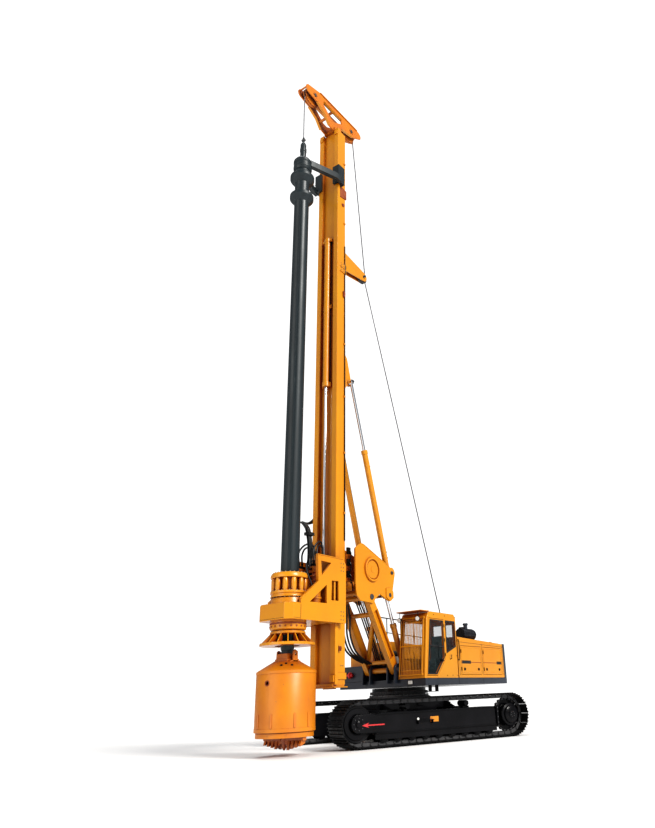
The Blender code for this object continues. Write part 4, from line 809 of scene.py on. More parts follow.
def build_house():
    """Lids, seams, latches, hinges, grilles, exhaust and filler caps of both side houses."""
    roof = Shape()
    slope = -0.11 / 2.97

    def top(x):
        return 2.74 + (x + 0.97) * -slope

    for x0, x1 in ((-2.36, -1.06), (-3.84, -2.44)):
        tilt = Matrix.Rotation(math.atan(slope), 4, "Y")
        middle = (top(x0) + top(x1)) / 2
        roof.box((x0, 0.7, middle - 0.01), (x1, 1.42, middle + 0.022), tilt)
    roof.make("house_lids", "yellow", "upper", 0.01)
    seams = Shape()
    for x in (-1.04, -2.46, -3.86):
        seams.box((x - 0.005, 1.496, 1.66), (x + 0.005, 1.503, 2.6))
    seams.plate([(-3.93, 2.535), (-0.97, 2.6), (-0.97, 2.608), (-3.93, 2.543)], 1.496, 1.503)
    for x in (-1.18, -2.8, -3.4):
        seams.box((x - 0.005, -1.503, 1.66), (x + 0.005, -1.496, 2.6))
    seams.plate([(-3.93, 2.535), (-0.56, 2.605), (-0.56, 2.613), (-3.93, 2.543)], -1.503, -1.496)
    seams.make("house_seams", "rubber", "upper")
    grille = Shape()
    for i in range(16):
        z = 1.74 + 0.046 * i
        grille.box((-3.86, -1.512, z), (-3.46, -1.494, z + 0.022), turned(25, "X"))
    for i in range(12):
        z = 1.74 + 0.046 * i
        grille.box((-1.1, -1.512, z), (-0.66, -1.494, z + 0.022), turned(25, "X"))
    for i in range(14):
        x = -2.2 + 0.075 * i
        grille.box((x, 0.76, top(x) + 0.014), (x + 0.035, 1.36, top(x) + 0.04))
    grille.make("house_grilles", "black", "upper")
    for body, x0, x1, block_at, reach in (("left_front_door", -2.385, -1.135, -1.44, 0.28), ("left_rear_door",
            -3.785, -2.535, -3.6, 0.17)):
        band, blocks = Shape(), Shape()
        band.box((x0, 1.4975, 2.022), (x1, 1.5005, 2.04))
        band.make("stripe_" + body, "rust", body)
        blocks.box((block_at - reach, 1.4975, 1.99), (block_at + reach, 1.5012, 2.078))
        blocks.make("blank_sign_" + body, "rubber", body, 0.001)
    for body, x0, x1, y, out in (("left_front_door", -2.392, -1.128, 1.498, 1), ("left_rear_door", -3.792,
            -2.528, 1.498, 1), ("right_door", -2.692, -1.308, -1.498, -1)):
        trim = Shape()
        low, high = sorted((y, y + out * 0.012))
        for x in (x1 - 0.2, x0 + 0.2):
            trim.box((x - 0.045, low, 1.8), (x + 0.045, high, 1.87))
            near, far = sorted((y + out * 0.01, y + out * 0.022))
            trim.box((x - 0.03, near, 1.815), (x + 0.03, far, 1.835))
        hinge = x1 + 0.012
        for z in (1.84, 2.34):
            trim.bar((hinge - 0.02, y + out * 0.01, z - 0.05), (hinge - 0.02, y + out * 0.01, z + 0.05),
                0.011, sides=12)
        trim.make("latches_" + body, "black", body, 0.003)
        rim = Shape()
        for z0, z1 in ((1.73, 1.738), (2.442, 2.45)):
            rim.box((x0 + 0.05, min(y, y + out * 0.004), z0), (x1 - 0.05, max(y, y + out * 0.004), z1))
        for x in (x0 + 0.05, x1 - 0.058):
            rim.box((x, min(y, y + out * 0.004), 1.73), (x + 0.008, max(y, y + out * 0.004), 2.45))
        rim.make("pressing_" + body, "yellow", body, 0.002)
    stack = Shape()
    stack.lathe([(0, 2.76), (0.1, 2.76), (0.1, 3.28), (0.085, 3.3), (0.055, 3.31), (0.055, 3.46),
        (0.062, 3.47), (0.062, 3.5), (0.045, 3.5), (0.045, 3.4), (0, 3.4)], (-3.3, -1.15, 0))
    stack.make("exhaust_stack", "black", "upper")
    ribs = Shape()
    for i in range(9):
        x = -2.86 + 0.08 * i
        ribs.lathe([(0.17, -0.012), (0.182, -0.008), (0.182, 0.008), (0.17, 0.012)], (x, 0.92, 2.93), X, 32)
    ribs.lathe([(0, 0), (0.065, 0), (0.065, 0.12), (0.085, 0.13), (0.085, 0.17), (0.06, 0.19), (0, 0.19)],
        (-2.55, 0.92, 3.09), Z)
    ribs.make("air_cleaner_ribs", "slate", "upper")
    caps = Shape()
    for x, y, z in ((0.1, -1.2, 2.4), (-0.3, -0.85, 2.4), (-1.6, -1.05, 2.725)):
        caps.lathe([(0, 0), (0.06, 0), (0.06, 0.03), (0.045, 0.045), (0, 0.045)], (x, y, z), Z, 24)
    caps.make("filler_caps", "black", "upper")
    # Winch: rope wound on the drum and the flange bolts
    wound = Shape()
    for i in range(26):
        y = -0.4 + 0.032 * i
        wound.lathe([(0.33, -0.014), (0.352, -0.01), (0.358, 0.0), (0.352, 0.01), (0.33, 0.014)],
            spot(WINCH, y), Y, 40)
    wound.make("rope_on_drum", "rope", "winch")
    flange = Shape()
    flange.bolts(spot(WINCH, 0.455), Y, 0.16, 10, 0.012)
    flange.bolts(spot(WINCH, -0.455), (0, -1, 0), 0.16, 10, 0.012)
    for side in SIDES:
        flange.lathe([(0.2, 0.455), (0.235, 0.455), (0.235, 0.468), (0.2, 0.468)], spot(WINCH), (0, side, 0))
    flange.make("winch_flange_bolts", "cast", "winch")


def build_cab():
    """Guard bars, seals, visor, lamps, wiper and handle."""
    bars = Shape()
    for i in range(14):
        y = 0.735 + 0.05 * i
        bars.bar((cab_face(1.7) + 0.03, y, 1.7), (cab_face(3.2) + 0.03, y, 3.2), 0.008, sides=8)
    for z in (1.8, 3.08):
        bars.box((cab_face(z) + 0.02, 0.7, z - 0.01), (cab_face(z) + 0.03, 1.42, z + 0.01))
    bars.make("guard_bars", "yellow", "upper")
    visor = Shape()
    visor.plate([(0.5, 3.378), (0.92, 3.382), (0.925, 3.398), (0.5, 3.402)], 0.63, 1.48)
    visor.make("cab_visor", "yellow", "upper", 0.004)
    Shape().box((-0.74, 0.76, 3.376), (0.4, 1.35, 3.398)).make("cab_roof_panel", "yellow", "upper", 0.01)
    seal = Shape()
    outline = [(-0.84, 2.48), (-0.34, 2.3), (-0.34, 3.14), (-0.84, 3.14)]
    centre = sum((Vector(p) for p in outline), Vector((0, 0))) / 4
    outer, inner = ([tuple(centre + (Vector(p) - centre) * size) for p in outline] for size in (1.1, 0.97))
    seal.plate(outer, 1.496, 1.506, holes=[inner])
    seal.box((-0.924, 0.7, 2.28), (-0.914, 1.41, 2.31))
    seal.box((-0.924, 0.7, 3.09), (-0.914, 1.41, 3.12))
    seal.make("window_seals", "rubber", "upper")
    door = Shape()
    outline = [(0.27, 1.72), (cab_face(1.72) - 0.17, 1.72), (cab_face(3.13) - 0.19, 3.13), (-0.16, 3.13),
        (-0.16, 2.15)]
    outer = [(0.24, 1.69), (cab_face(1.69) - 0.135, 1.69), (cab_face(3.16) - 0.155, 3.16), (-0.195, 3.16),
        (-0.195, 2.135)]
    door.plate(outer, 1.495, 1.507, holes=[outline])
    door.box((-0.19, 1.495, 2.42), (cab_face(2.44) - 0.14, 1.508, 2.455))
    door.make("door_seal", "rubber", "cab_door")
    handle = Shape()
    handle.box((-0.12, 1.497, 2.03), (0.02, 1.512, 2.1))
    handle.tube([(-0.1, 1.505, 2.05), (-0.09, 1.545, 2.055), (0.0, 1.545, 2.06), (0.01, 1.505, 2.06)], 0.009,
        smooth=3)
    handle.tube([(0.2, 1.5, 2.0), (0.2, 1.545, 2.02), (0.2, 1.545, 2.5), (0.2, 1.5, 2.52)], 0.011, smooth=3)
    handle.make("door_handle", "black", "cab_door", 0.002)
    hinges = Shape()
    for z in (2.22, 2.62, 3.02):
        hinges.bar((-0.246, 1.503, z - 0.045), (-0.246, 1.503, z + 0.045), 0.012, sides=12)
    hinges.tube([(-0.5, 1.5, 2.1), (-0.5, 1.555, 2.12), (-0.5, 1.555, 2.2), (-0.56, 1.53, 2.22)], 0.01,
        smooth=3)
    hinges.studs([(x, 1.5, z) for x, z in ((-0.88, 1.66), (-0.6, 1.66), (-0.3, 1.66), (-0.88, 2.2),
        (-0.88, 3.3), (-0.3, 3.3), (0.3, 3.3))], Y, 0.012, 0.01)
    hinges.make("cab_hinges", "black", "upper")
    lamps = Shape()
    lenses = Shape()
    for at, way in (((0.9, 1.36, 3.17), (1, 0.15, -0.2)), ((0.9, 0.74, 3.17), (1, -0.15, -0.2))):
        way = Vector(way).normalized()
        at = Vector(at) + way * 0.03
        lamps.bar(at - way * 0.07, at, 0.04, 0.066)
        lamps.bar(at - way * 0.03, (at.x - 0.03, at.y, 3.375), 0.01, sides=8)
        lamps.bar(at, at + way * 0.018, 0.068)
        lenses.bar(at + way * 0.017, at + way * 0.024, 0.058)
    lamps.make("work_lamps", "black", "upper")
    lenses.make("work_lamp_lenses", "lamp", "upper")
    # A dark red sheet under the visor: painted shade beneath the roof's front edge
    under = Shape()
    under.plate([(0.53, 3.368), (0.918, 3.372), (0.918, 3.383), (0.53, 3.38)], 0.632, 1.478)
    under.make("visor_painted_shade", "rust", "upper")
    wiper = Shape()
    wiper.tube([(cab_face(1.8) + 0.004, 1.05, 1.8), (cab_face(2.35) + 0.006, 0.94, 2.35)], 0.007)
    wiper.bar((cab_face(2.1) + 0.005, 0.98, 2.05), (cab_face(2.7) + 0.005, 0.9, 2.7), 0.006, sides=8)
    wiper.make("wiper", "black", "upper")
    seat = Shape()
    seat.box((-0.42, 0.86, 2.055), (-0.03, 1.24, 2.085))
    seat.box((-0.62, 0.88, 2.2), (-0.58, 1.22, 2.62), turned(-8, "Y"))
    seat.make("seat_panels", "seat", "upper", 0.012)
    levers = Shape()
    for y in (0.86, 1.24):
        levers.bar((0.1, y, 2.1), (0.08, y, 2.38), 0.01, sides=10)
        levers.lathe([(0, 0), (0.016, 0), (0.022, 0.03), (0.02, 0.08), (0.01, 0.1), (0, 0.1)],
            (0.08, y, 2.36))
    for y in (0.96, 1.14):
        levers.bar((0.36, y, 1.7), (0.44, y, 2.02), 0.009, sides=10)
        levers.box((0.36, y - 0.05, 1.7), (0.54, y + 0.05, 1.715), turned(-20, "Y"))
    levers.make("cab_levers", "black", "upper")
    screen = Shape()
    screen.box((0.46, 1.22, 2.2), (0.49, 1.42, 2.46), turned(15, "Z"))
    screen.bar((0.48, 1.36, 1.7), (0.48, 1.36, 2.25), 0.014, sides=10)
    screen.make("cab_screen", "black", "upper", 0.004)


# ---------------------------------------------------------------- boom, bracket and cylinders
def pin_end(shape, at, radius, outer, side=1):
    """A pin's end cap, on a side plate's outer face."""
    shape.lathe([(0, 0), (radius, 0), (radius, 0.02), (radius * 0.86, 0.032), (radius * 0.45, 0.034),
        (radius * 0.4, 0.024), (0, 0.024)], spot(at, outer * side), (0, side, 0), 28)


def build_boom():
    """Flanges and pins of the boom, and trim of both cylinder pairs and of the bracket."""
    trim = Shape()
    direction = spot(BOOM_TOP) - spot(BOOM_FOOT)
    direction.normalize()
    across = Vector((direction.z, 0, -direction.x))
    half = across * 0.01
    for edge in (across * -0.126, across * 0.126):
        start = spot(BOOM_FOOT) + direction * 0.34 + edge
        end = spot(BOOM_TOP) - direction * 0.42 + edge
        corners = (start + half, end + half, end - half, start - half)
        trim.plate_pair([(p.x, p.z) for p in corners], 0.364, 0.528)
    trim.make("boom_flanges", "yellow", "boom", 0.003)
    pins = Shape()
    for side in SIDES:
        pin_end(pins, BOOM_FOOT, 0.075, 0.592, side)
    pins.make("boom_foot_pins", "cast", "boom")
    for tag, foot, top in (("luffing", LUFF_FOOT, LUFF_EYE), ("mast", FOOT_EYE, HEAD_EYE)):
        barrel = tag + "_barrels"
        run = (spot(top) - spot(foot)).normalized()
        _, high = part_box("luffing_cylinders" if tag == "luffing" else "mast_cylinders")
        gland = (high.z - foot[1]) / run.z - 0.02
        radius = 0.08 if tag == "luffing" else 0.085
        collar, pipe, bolts, pins = Shape(), Shape(), Shape(), Shape()
        for side in SIDES:
            base = spot(foot, side * CYLINDER_Y)
            for at, size, wide in ((0.14, 1.1, 0.05), (gland - 0.13, 1.16, 0.11), (gland - 0.42, 1.07, 0.03)):
                collar.lathe(band(radius * size, wide, 0.05), base + run * at, run, 32)
            back = Vector((-run.z, 0, run.x)) * (radius + 0.026)
            inner = Vector((0, -side * 0.02, 0))
            pipe.tube([base + run * (gland - 0.1) + back * 0.75, base + run * (gland - 0.13) + back + inner,
                base + run * (gland - 0.3) + back + inner, base + run * (gland * 0.5) + back + inner,
                base + run * 0.4 + back + inner, base + run * 0.26 + back * 0.8], 0.012, smooth=4)
            for at in (0.45, 0.62, gland - 0.5):
                pipe.box(base + run * at + back * 0.9 - Vector((0.03, 0.025, 0.02)),
                    base + run * at + back * 0.9 + Vector((0.03, 0.025, 0.02)))
            bolts.bolts(base + run * (gland - 0.02), run, radius * 0.92, 8, 0.009, 0.012)
        collar.make(tag + "_cylinder_collars", "yellow", barrel)
        pipe.make(tag + "_cylinder_pipes", "black", barrel)
        bolts.make(tag + "_cylinder_bolts", "bolt", barrel)
        for side in SIDES:
            pin_end(pins, foot, 0.05, 0.577 if tag == "luffing" else 0.578, side)
        pins.make(tag + "_foot_pins", "cast", "bracket" if tag == "mast" else "upper")
    # The bracket between boom and mast: pivot disc, edge strips, pins
    disc, trim, pins = Shape(), Shape(), Shape()
    for side in SIDES:
        disc.lathe([(0, 0), (0.335, 0), (0.335, 0.05), (0.325, 0.06), (0.285, 0.06), (0.278, 0.012),
            (0.19, 0.008), (0.186, 0.034), (0.15, 0.034), (0.144, 0.014), (0.085, 0.012), (0.08, 0.044),
            (0, 0.044)], spot(MAST_PIVOT, side * BRACKET_FACE), (0, side, 0), 48)
        for at, radius in ((BOOM_TOP, 0.075), (LUFF_EYE, 0.06)):
            pin_end(pins, at, radius, BRACKET_FACE, side)
        pins.bolts(spot(MAST_PIVOT, side * 0.584), (0, side, 0), 0.235, 16, 0.012, 0.014)
    trim.plate_pair([(2.5, 5.16), (2.36, 5.16), (1.2, 4.705), (1.2, 4.723), (2.36, 5.178), (2.5, 5.178)],
        0.528, 0.582)
    trim.plate_pair([(2.7, 4.02), (2.7, 5.0), (2.716, 5.0), (2.716, 4.02)], 0.528, 0.582)
    trim.plate_pair([(0.985, 3.8), (1.15, 3.7), (1.33, 3.8), (1.33, 4.05), (1.1, 4.08), (0.985, 3.98)], 0.572,
        0.6, [circle(LUFF_EYE, 0.064, 20)])
    disc.make("pivot_discs", "yellow", "bracket")
    trim.make("bracket_edges", "yellow", "bracket", 0.003)
    pins.make("bracket_pins", "cast", "bracket")


# ---------------------------------------------------------------- mast
def build_mast():
    """Bands, bolts, rails, fittings, pipes and rungs of the mast, and the crown's flanges and pins."""
    edges = Shape()
    for z in (3.1, 5.6, 7.4, 9.2, 11.0, 12.8):
        edges.box((MAST_REAR - 0.012, -0.3, z), (MAST_REAR + 0.004, 0.3, z + 0.05))
    for z in (1.62, 14.02, 14.2):
        edges.box_pair((MAST_REAR - 0.03, 0.352, z), (MAST_REAR + 0.3, 0.385, z + 0.16))
    edges.box((MAST_REAR - 0.045, -0.385, 14.02), (MAST_REAR + 0.01, 0.385, 14.36))
    edges.make("mast_bands", "yellow", "mast", 0.005)
    joint = Shape()
    for side in SIDES:
        joint.studs([(x, side * 0.385, z) for x in (2.93, 3.03, 3.13) for z in (14.06, 14.14, 14.25, 14.33)],
            (0, side, 0), 0.014, 0.014)
        joint.studs([(2.99 + 0.07 * i, side * 0.36, z) for i in range(2) for z in (1.75, 1.95)], (0, side, 0))
    joint.studs([(MAST_REAR - 0.045, y, z) for y in (-0.28, -0.14, 0, 0.14, 0.28) for z in (14.09, 14.29)],
        (-1, 0, 0), 0.015, 0.014)
    joint.make("mast_joint_bolts", "bolt", "mast")
    plate = Shape()
    plate.box((MAST_REAR - 0.02, -0.44, 1.425), (MAST_FRONT + 0.04, 0.44, 1.452))
    plate.box((2.96, -0.12, 1.4), (3.2, 0.12, 1.43))
    plate.make("mast_foot_plate", "yellow", "mast", 0.004)
    stops = Shape()
    for z0, z1 in ((1.56, 1.72), (19.72, 19.86)):
        stops.box_pair((3.355, 0.27, z0), (3.4, 0.4, z1))
    stops.make("rail_stops", "yellow", "mast", 0.006)
    # Wear strips on the rails
    strips = Shape()
    strips.box_pair((3.356, 0.262, 1.75), (3.364, 0.408, 19.7))
    strips.make("mast_rail_strips", "yellow", "mast", 0.002)
    # Fittings on the left side
    side_bits = Shape()
    side_bits.box((2.96, 0.358, 17.72), (3.18, 0.372, 17.9))
    side_bits.plate([(2.86, 17.1), (3.2, 17.05), (3.2, 17.42), (3.1, 17.5), (2.86, 17.46)], 0.358, 0.385)
    side_bits.lathe([(0, 0), (0.06, 0), (0.06, 0.03), (0, 0.03)], (3.02, 0.358, 16.78), Y, 20)
    side_bits.box((3.12, 0.358, 2.3), (3.22, 0.43, 2.42))
    side_bits.across((3.17, 2.36), 0.03, 0.36, 0.46, 16)
    side_bits.box((2.94, 0.358, 13.1), (3.02, 0.41, 13.3))
    side_bits.make("mast_side_fittings", "rust", "mast", 0.003)
    lugs = Shape()
    for z in (5.95, 7.75, 9.55, 11.35, 13.2, 16.0, 18.6):
        lugs.box_pair((2.915, 0.355, z), (2.975, 0.395, z + 0.06))
    lugs.make("hose_lugs", "yellow", "mast", 0.004)
    pipes = Shape()
    for y in (0.372, 0.388):
        pipes.tube([(2.935, y, 5.2), (2.935, y, 9.7), (2.935, y, 15.1)], 0.011, sides=8, smooth=1)
    pipes.tube([(2.935, -0.375, 5.2), (2.935, -0.375, 18.9)], 0.012, sides=8)
    pipes.make("mast_pipes", "black", "mast")
    pins = Shape()
    for side in SIDES:
        pin_end(pins, HEAD_EYE, 0.045, 0.5, side)
    pins.make("cylinder_head_pins", "cast", "mast_rods")
    blocks = Shape()
    for z in (4.2, 4.52, 4.84):
        blocks.box((2.76, 0.385, z), (2.88, 0.45, z + 0.18))
        blocks.bar((2.82, 0.45, z + 0.09), (2.82, 0.475, z + 0.09), 0.03, sides=6)
        blocks.tube([(2.82, 0.465, z + 0.09), (2.8, 0.49, z + 0.02), (2.79, 0.475, z - 0.16)], 0.016)
    blocks.make("mast_valves", "black", "mast", 0.004)
    barrel = Shape()
    for z, r, h in ((9.86, 0.112, 0.16), (12.4, 0.104, 0.05), (15.16, 0.108, 0.1)):
        barrel.lathe(band(r, h, 0.05), (MAST_FRONT, 0, z))
    barrel.box((3.24, -0.17, 15.16), (3.4, 0.17, 15.24))
    barrel.make("crowd_cylinder_collars", "yellow", "mast")
    cylinder_pipe = Shape()
    cylinder_pipe.tube([(3.33, 0.1, 15.05), (3.33, 0.135, 14.95), (3.33, 0.135, 12.0), (3.33, 0.135, 10.2),
        (3.33, 0.1, 10.05)], 0.012, smooth=3)
    cylinder_pipe.make("crowd_cylinder_pipe", "black", "mast")
    # Crown: flanges along the plates' edges, pins
    flanges = Shape()
    for outline in ([(3.62, 20.03), (3.86, 20.35), (4.24, 20.57), (4.24, 20.59), (3.85, 20.368),
            (3.61, 20.045)], [(2.3, 20.553), (2.92, 20.41), (2.92, 20.428), (2.3, 20.572)], [(4.1, 21.098),
            (2.02, 21.098), (2.02, 21.116), (4.1, 21.116)], [(2.92, 20.85), (3.9, 20.862), (3.9, 20.876),
            (2.92, 20.864)]):
        flanges.plate_pair(outline, 0.15, 0.235)
    flanges.make("crown_flanges", "yellow", "mast", 0.002)
    caps = Shape()
    for at in (FRONT_SHEAVE, REAR_SHEAVE):
        for side in SIDES:
            pin_end(caps, at, 0.06, 0.2, side)
            caps.bolts(spot(at, side * 0.2), (0, side, 0), 0.1, 6, 0.01)
    for side in SIDES:
        pin_end(caps, GUIDE_SHEAVE, 0.045, 0.14, side)
    caps.make("sheave_pins", "cast", "mast")
    Shape().bar((2.95, 0.24, 20.1), (2.95, 0.3, 20.02), 0.04, 0.06).make("mast_lamp", "black", "mast")
    ladder, rungs_x, rungs_y = Shape(), MAST_REAR - 0.1, 0.16
    for y in (-rungs_y, rungs_y):
        ladder.tube([(rungs_x, y, 15.6), (rungs_x, y, 19.7)], 0.012, sides=8)
    for i in range(15):
        z = 15.75 + 0.27 * i
        ladder.bar((rungs_x, -rungs_y, z), (rungs_x, rungs_y, z), 0.01, sides=8)
    for z in (15.7, 17.6, 19.6):
        for y in (-rungs_y, rungs_y):
            ladder.bar((rungs_x, y, z), (MAST_REAR + 0.01, y, z), 0.011, sides=8)
    ladder.make("mast_rungs", "black", "mast")


# ---------------------------------------------------------------- power head, kelly bar, tool
def build_head():
    """Gearbox, motors, carriage, sleeve, casing adaptor and the hoses of the power head."""
    # Gearbox: cover seam, flange bolts, motors
    cover = Shape()
    cover.plate([(3.545, -0.545), (5.05, -0.545), (5.185, -0.39), (5.185, 0.39), (5.05, 0.545),
        (3.545, 0.545)], 3.34, 3.365, "XY")
    cover.make("gearbox_joint", "yellow", "power_head", 0.004)
    bolts = Shape()
    for side in SIDES:
        bolts.studs([(4.84 + 0.09 * i, side * 0.5, 3.362) for i in range(3)], Z, 0.014, 0.012)
    bolts.studs([(5.14, -0.36 + 0.12 * i, 3.362) for i in range(7)], Z, 0.014, 0.012)
    bolts.bolts((KELLY, 0, 3.515), Z, 0.425, 24, 0.014, 0.016)
    bolts.make("gearbox_bolts", "bolt", "power_head")
    seams = Shape()
    seams.box_pair((4.796, 0.5575, 2.98), (4.804, 0.5625, 3.33))
    seams.box_pair((4.82, 0.5575, 3.0), (5.05, 0.5625, 3.006))
    seams.box((5.1985, -0.39, 3.0), (5.2025, 0.39, 3.006))
    seams.make("gearbox_seams", "rubber", "power_head")
    motors = Shape()
    for y in (-MOTOR_Y, MOTOR_Y):
        for z0, r, h in ((3.53, 0.175, 0.05), (3.66, 0.15, 0.03), (3.9, 0.148, 0.05), (4.1, 0.14, 0.04)):
            motors.lathe(band(r, h, 0.06), (MOTOR_X, y, z0))
        motors.box((3.83, y - 0.1, 4.2), (4.13, y + 0.1, 4.36))
        motors.bolts((MOTOR_X, y, 3.58), Z, 0.16, 10, 0.012)
    motors.make("motor_collars", "yellow", "power_head", 0.004)
    blocks = Shape()
    for y in (-MOTOR_Y, MOTOR_Y):
        blocks.box((3.86, y - 0.07, 4.36), (4.1, y + 0.07, 4.43))
        for dx in (-0.06, 0.06):
            blocks.bar((MOTOR_X + dx, y, 4.4), (MOTOR_X + dx, y, 4.5), 0.03, sides=12)
            blocks.bar((MOTOR_X + dx, y, 4.49), (MOTOR_X + dx, y, 4.53), 0.036, sides=6)
        blocks.bar((4.12, y, 4.28), (4.2, y, 4.28), 0.028, sides=12)
    blocks.make("motor_ports", "black", "power_head", 0.003)
    arcs = Shape()
    for y in (-MOTOR_Y, MOTOR_Y):
        for dx, rise in ((-0.06, 0.42), (0.06, 0.52)):
            arcs.tube([(MOTOR_X + dx, y, 4.5), (3.99 + dx, y, 4.5 + rise * 0.6),
                (3.84, y * 0.85, 4.52 + rise), (3.62, y * 0.6, 4.62 + rise * 0.8), (3.54, y * 0.45, 4.72),
                (3.5, y * 0.42, 4.5)], 0.024, smooth=6)
        arcs.tube([(4.18, y, 4.28), (4.34, y * 1.1, 4.4), (4.42, y * 1.5, 4.14), (4.34, y * 1.8, 3.86),
            (4.22, y * 1.6, 3.62)], 0.02, smooth=6)
    arcs.make("motor_hoses", "hose", "power_head")
    trim = Shape()
    trim.plate_pair([(4.795, 3.452), (4.18, 3.925), (4.21, 4.61), (4.228, 4.61), (4.2, 3.936),
        (4.808, 3.468)], 0.492, 0.575)
    trim.plate_pair([(3.2, 4.612), (4.228, 4.612), (4.228, 4.632), (3.2, 4.632)], 0.492, 0.575)
    trim.make("carriage_edges", "yellow", "power_head", 0.003)
    pads = Shape()
    for z in (3.06, 4.28):
        pads.box_pair((3.375, 0.425, z), (3.42, 0.5, z + 0.24))
    pads.make("slide_pads", "black", "power_head", 0.004)
    studs = Shape()
    for side in SIDES:
        studs.studs([(x, side * 0.56, z) for x in (3.2, 3.3) for z in (3.05, 3.15, 3.25, 4.3, 4.4, 4.5)],
            (0, side, 0), 0.014, 0.013)
    studs.make("slide_bolts", "bolt", "power_head")
    # Sleeve: a ring of spring cups between two flanges, then its cone
    cups = Shape()
    cups.lathe([(0, 3.68), (0.06, 3.68), (0.06, 3.72), (0.066, 3.73), (0.066, 3.94), (0.058, 3.96),
        (0.058, 3.99), (0, 3.99)], (0.39, 0, 0), Z, 20)
    cups.bar((0.392, 0, 3.99), (0.392, 0, 4.02), 0.03, sides=12)
    cups.copies(kelly_places(12))
    cups.make("spring_cups", "yellow", "sleeve")
    core = Shape()
    core.on_kelly([(0.262, 4.13), (0.3, 4.13), (0.3, 4.09), (0.318, 4.07), (0.318, 3.56), (0.3, 3.54),
        (0.3, 2.5), (0.262, 2.5)])
    core.make("sleeve_core", "yellow", "sleeve", replaces=("drive_sleeve",))
    ring = Shape()
    ring.on_kelly([(0.262, 4.128), (0.42, 4.128), (0.44, 4.118), (0.466, 4.06), (0.466, 4.01), (0.455, 4.0),
        (0.262, 4.0)], 64)
    ring.on_kelly([(0.31, 3.68), (0.452, 3.68), (0.46, 3.67), (0.46, 3.625), (0.45, 3.615), (0.44, 3.612),
        (0.44, 3.575), (0.45, 3.57), (0.455, 3.55), (0.455, 3.535), (0.31, 3.535)], 64)
    ring.make("sleeve_rings", "yellow", "sleeve", 0.002)
    ring_bolts = Shape()
    ring_bolts.bolts((KELLY, 0, 4.128), Z, 0.405, 24, 0.015, 0.018)
    ring_bolts.bolts((KELLY, 0, 3.535), -Z, 0.425, 24, 0.013, 0.012)
    ring_bolts.bolts((KELLY, 0, 3.68), Z, 0.446, 30, 0.01, 0.018)
    ring_bolts.make("sleeve_bolts", "bolt", "sleeve")
    ribs = Shape()
    ribs.plate([(0.355, 2.455), (0.64, 2.455), (0.425, 2.675), (0.355, 2.675)], -0.014, 0.014)
    ribs.copies(kelly_places(16))
    ribs.make("adaptor_ribs", "yellow", "sleeve", 0.003)
    windows = Shape()
    windows.on_kelly([(0.358, 2.5), (0.366, 2.5), (0.366, 2.645), (0.358, 2.645)])
    windows.make("adaptor_windows", "black", "sleeve")
    neck = Shape()
    neck.on_kelly([(0.302, 2.735), (0.402, 2.735), (0.402, 2.715), (0.43, 2.705), (0.43, 2.68),
        (0.302, 2.68)])
    neck.make("adaptor_neck", "yellow", "sleeve", 0.002)
    studs = Shape()
    studs.on_kelly([(0.438, 2.925), (0.448, 2.92), (0.448, 2.89), (0.438, 2.885)])
    for angle in around(20):
        studs.studs([(*polar(0.438, angle, (KELLY, 0)), 2.84)], (*polar(1, angle), 0), 0.02, 0.014)
    studs.make("seal_studs", "rust", "power_head")
    holes = Shape()
    holes.bolts((KELLY, 0, 2.458), Z, 0.63, 16, 0.02, 0.012, math.pi / 16)
    holes.make("adaptor_bolts", "bolt", "sleeve")
    # Hoses hanging behind the kelly bar, from the mast to the power head
    bundle = Shape()
    for i in range(6):
        dx, dy = 0.045 * (i % 3), 0.05 * (i // 3)
        bundle.tube([(2.98 + dx * 0.6, -0.385 - dy, 6.4), (3.02 + dx, -0.5 - dy, 6.02),
            (3.18 + dx, -0.62 - dy, 5.82), (3.5 + dx, -0.58 - dy, 5.76), (3.8 + dx, -0.3 - dy, 5.66),
            (3.93 + dx, -0.02 - dy, 5.42), (3.93 + dx, 0.06 - dy, 5.1), (3.9 + dx, 0.06 - dy, 4.8),
            (3.88 + dx, 0.04 - dy, 4.62)], 0.022, smooth=7)
    bundle.box((3.88, -0.05, 5.22), (4.1, 0.12, 5.3))
    bundle.make("hose_bundle", "hose", ("mast", "power_head", (2.98, -0.4, 6.4), (3.9, 0.04, 5.4)))
    rise = Shape()
    for i in range(6):
        dx, dy = 0.045 * (i % 3), 0.05 * (i // 3)
        side = 1 if i % 2 else -1
        rise.tube([(3.88 + dx, 0.04 - dy, 4.62), (3.9 + dx, 0.04 - dy, 4.4), (3.94 + dx, side * 0.1, 4.12),
            (MOTOR_X, side * 0.16, 3.9)], 0.022)
    rise.make("hose_tails", "hose", "power_head")


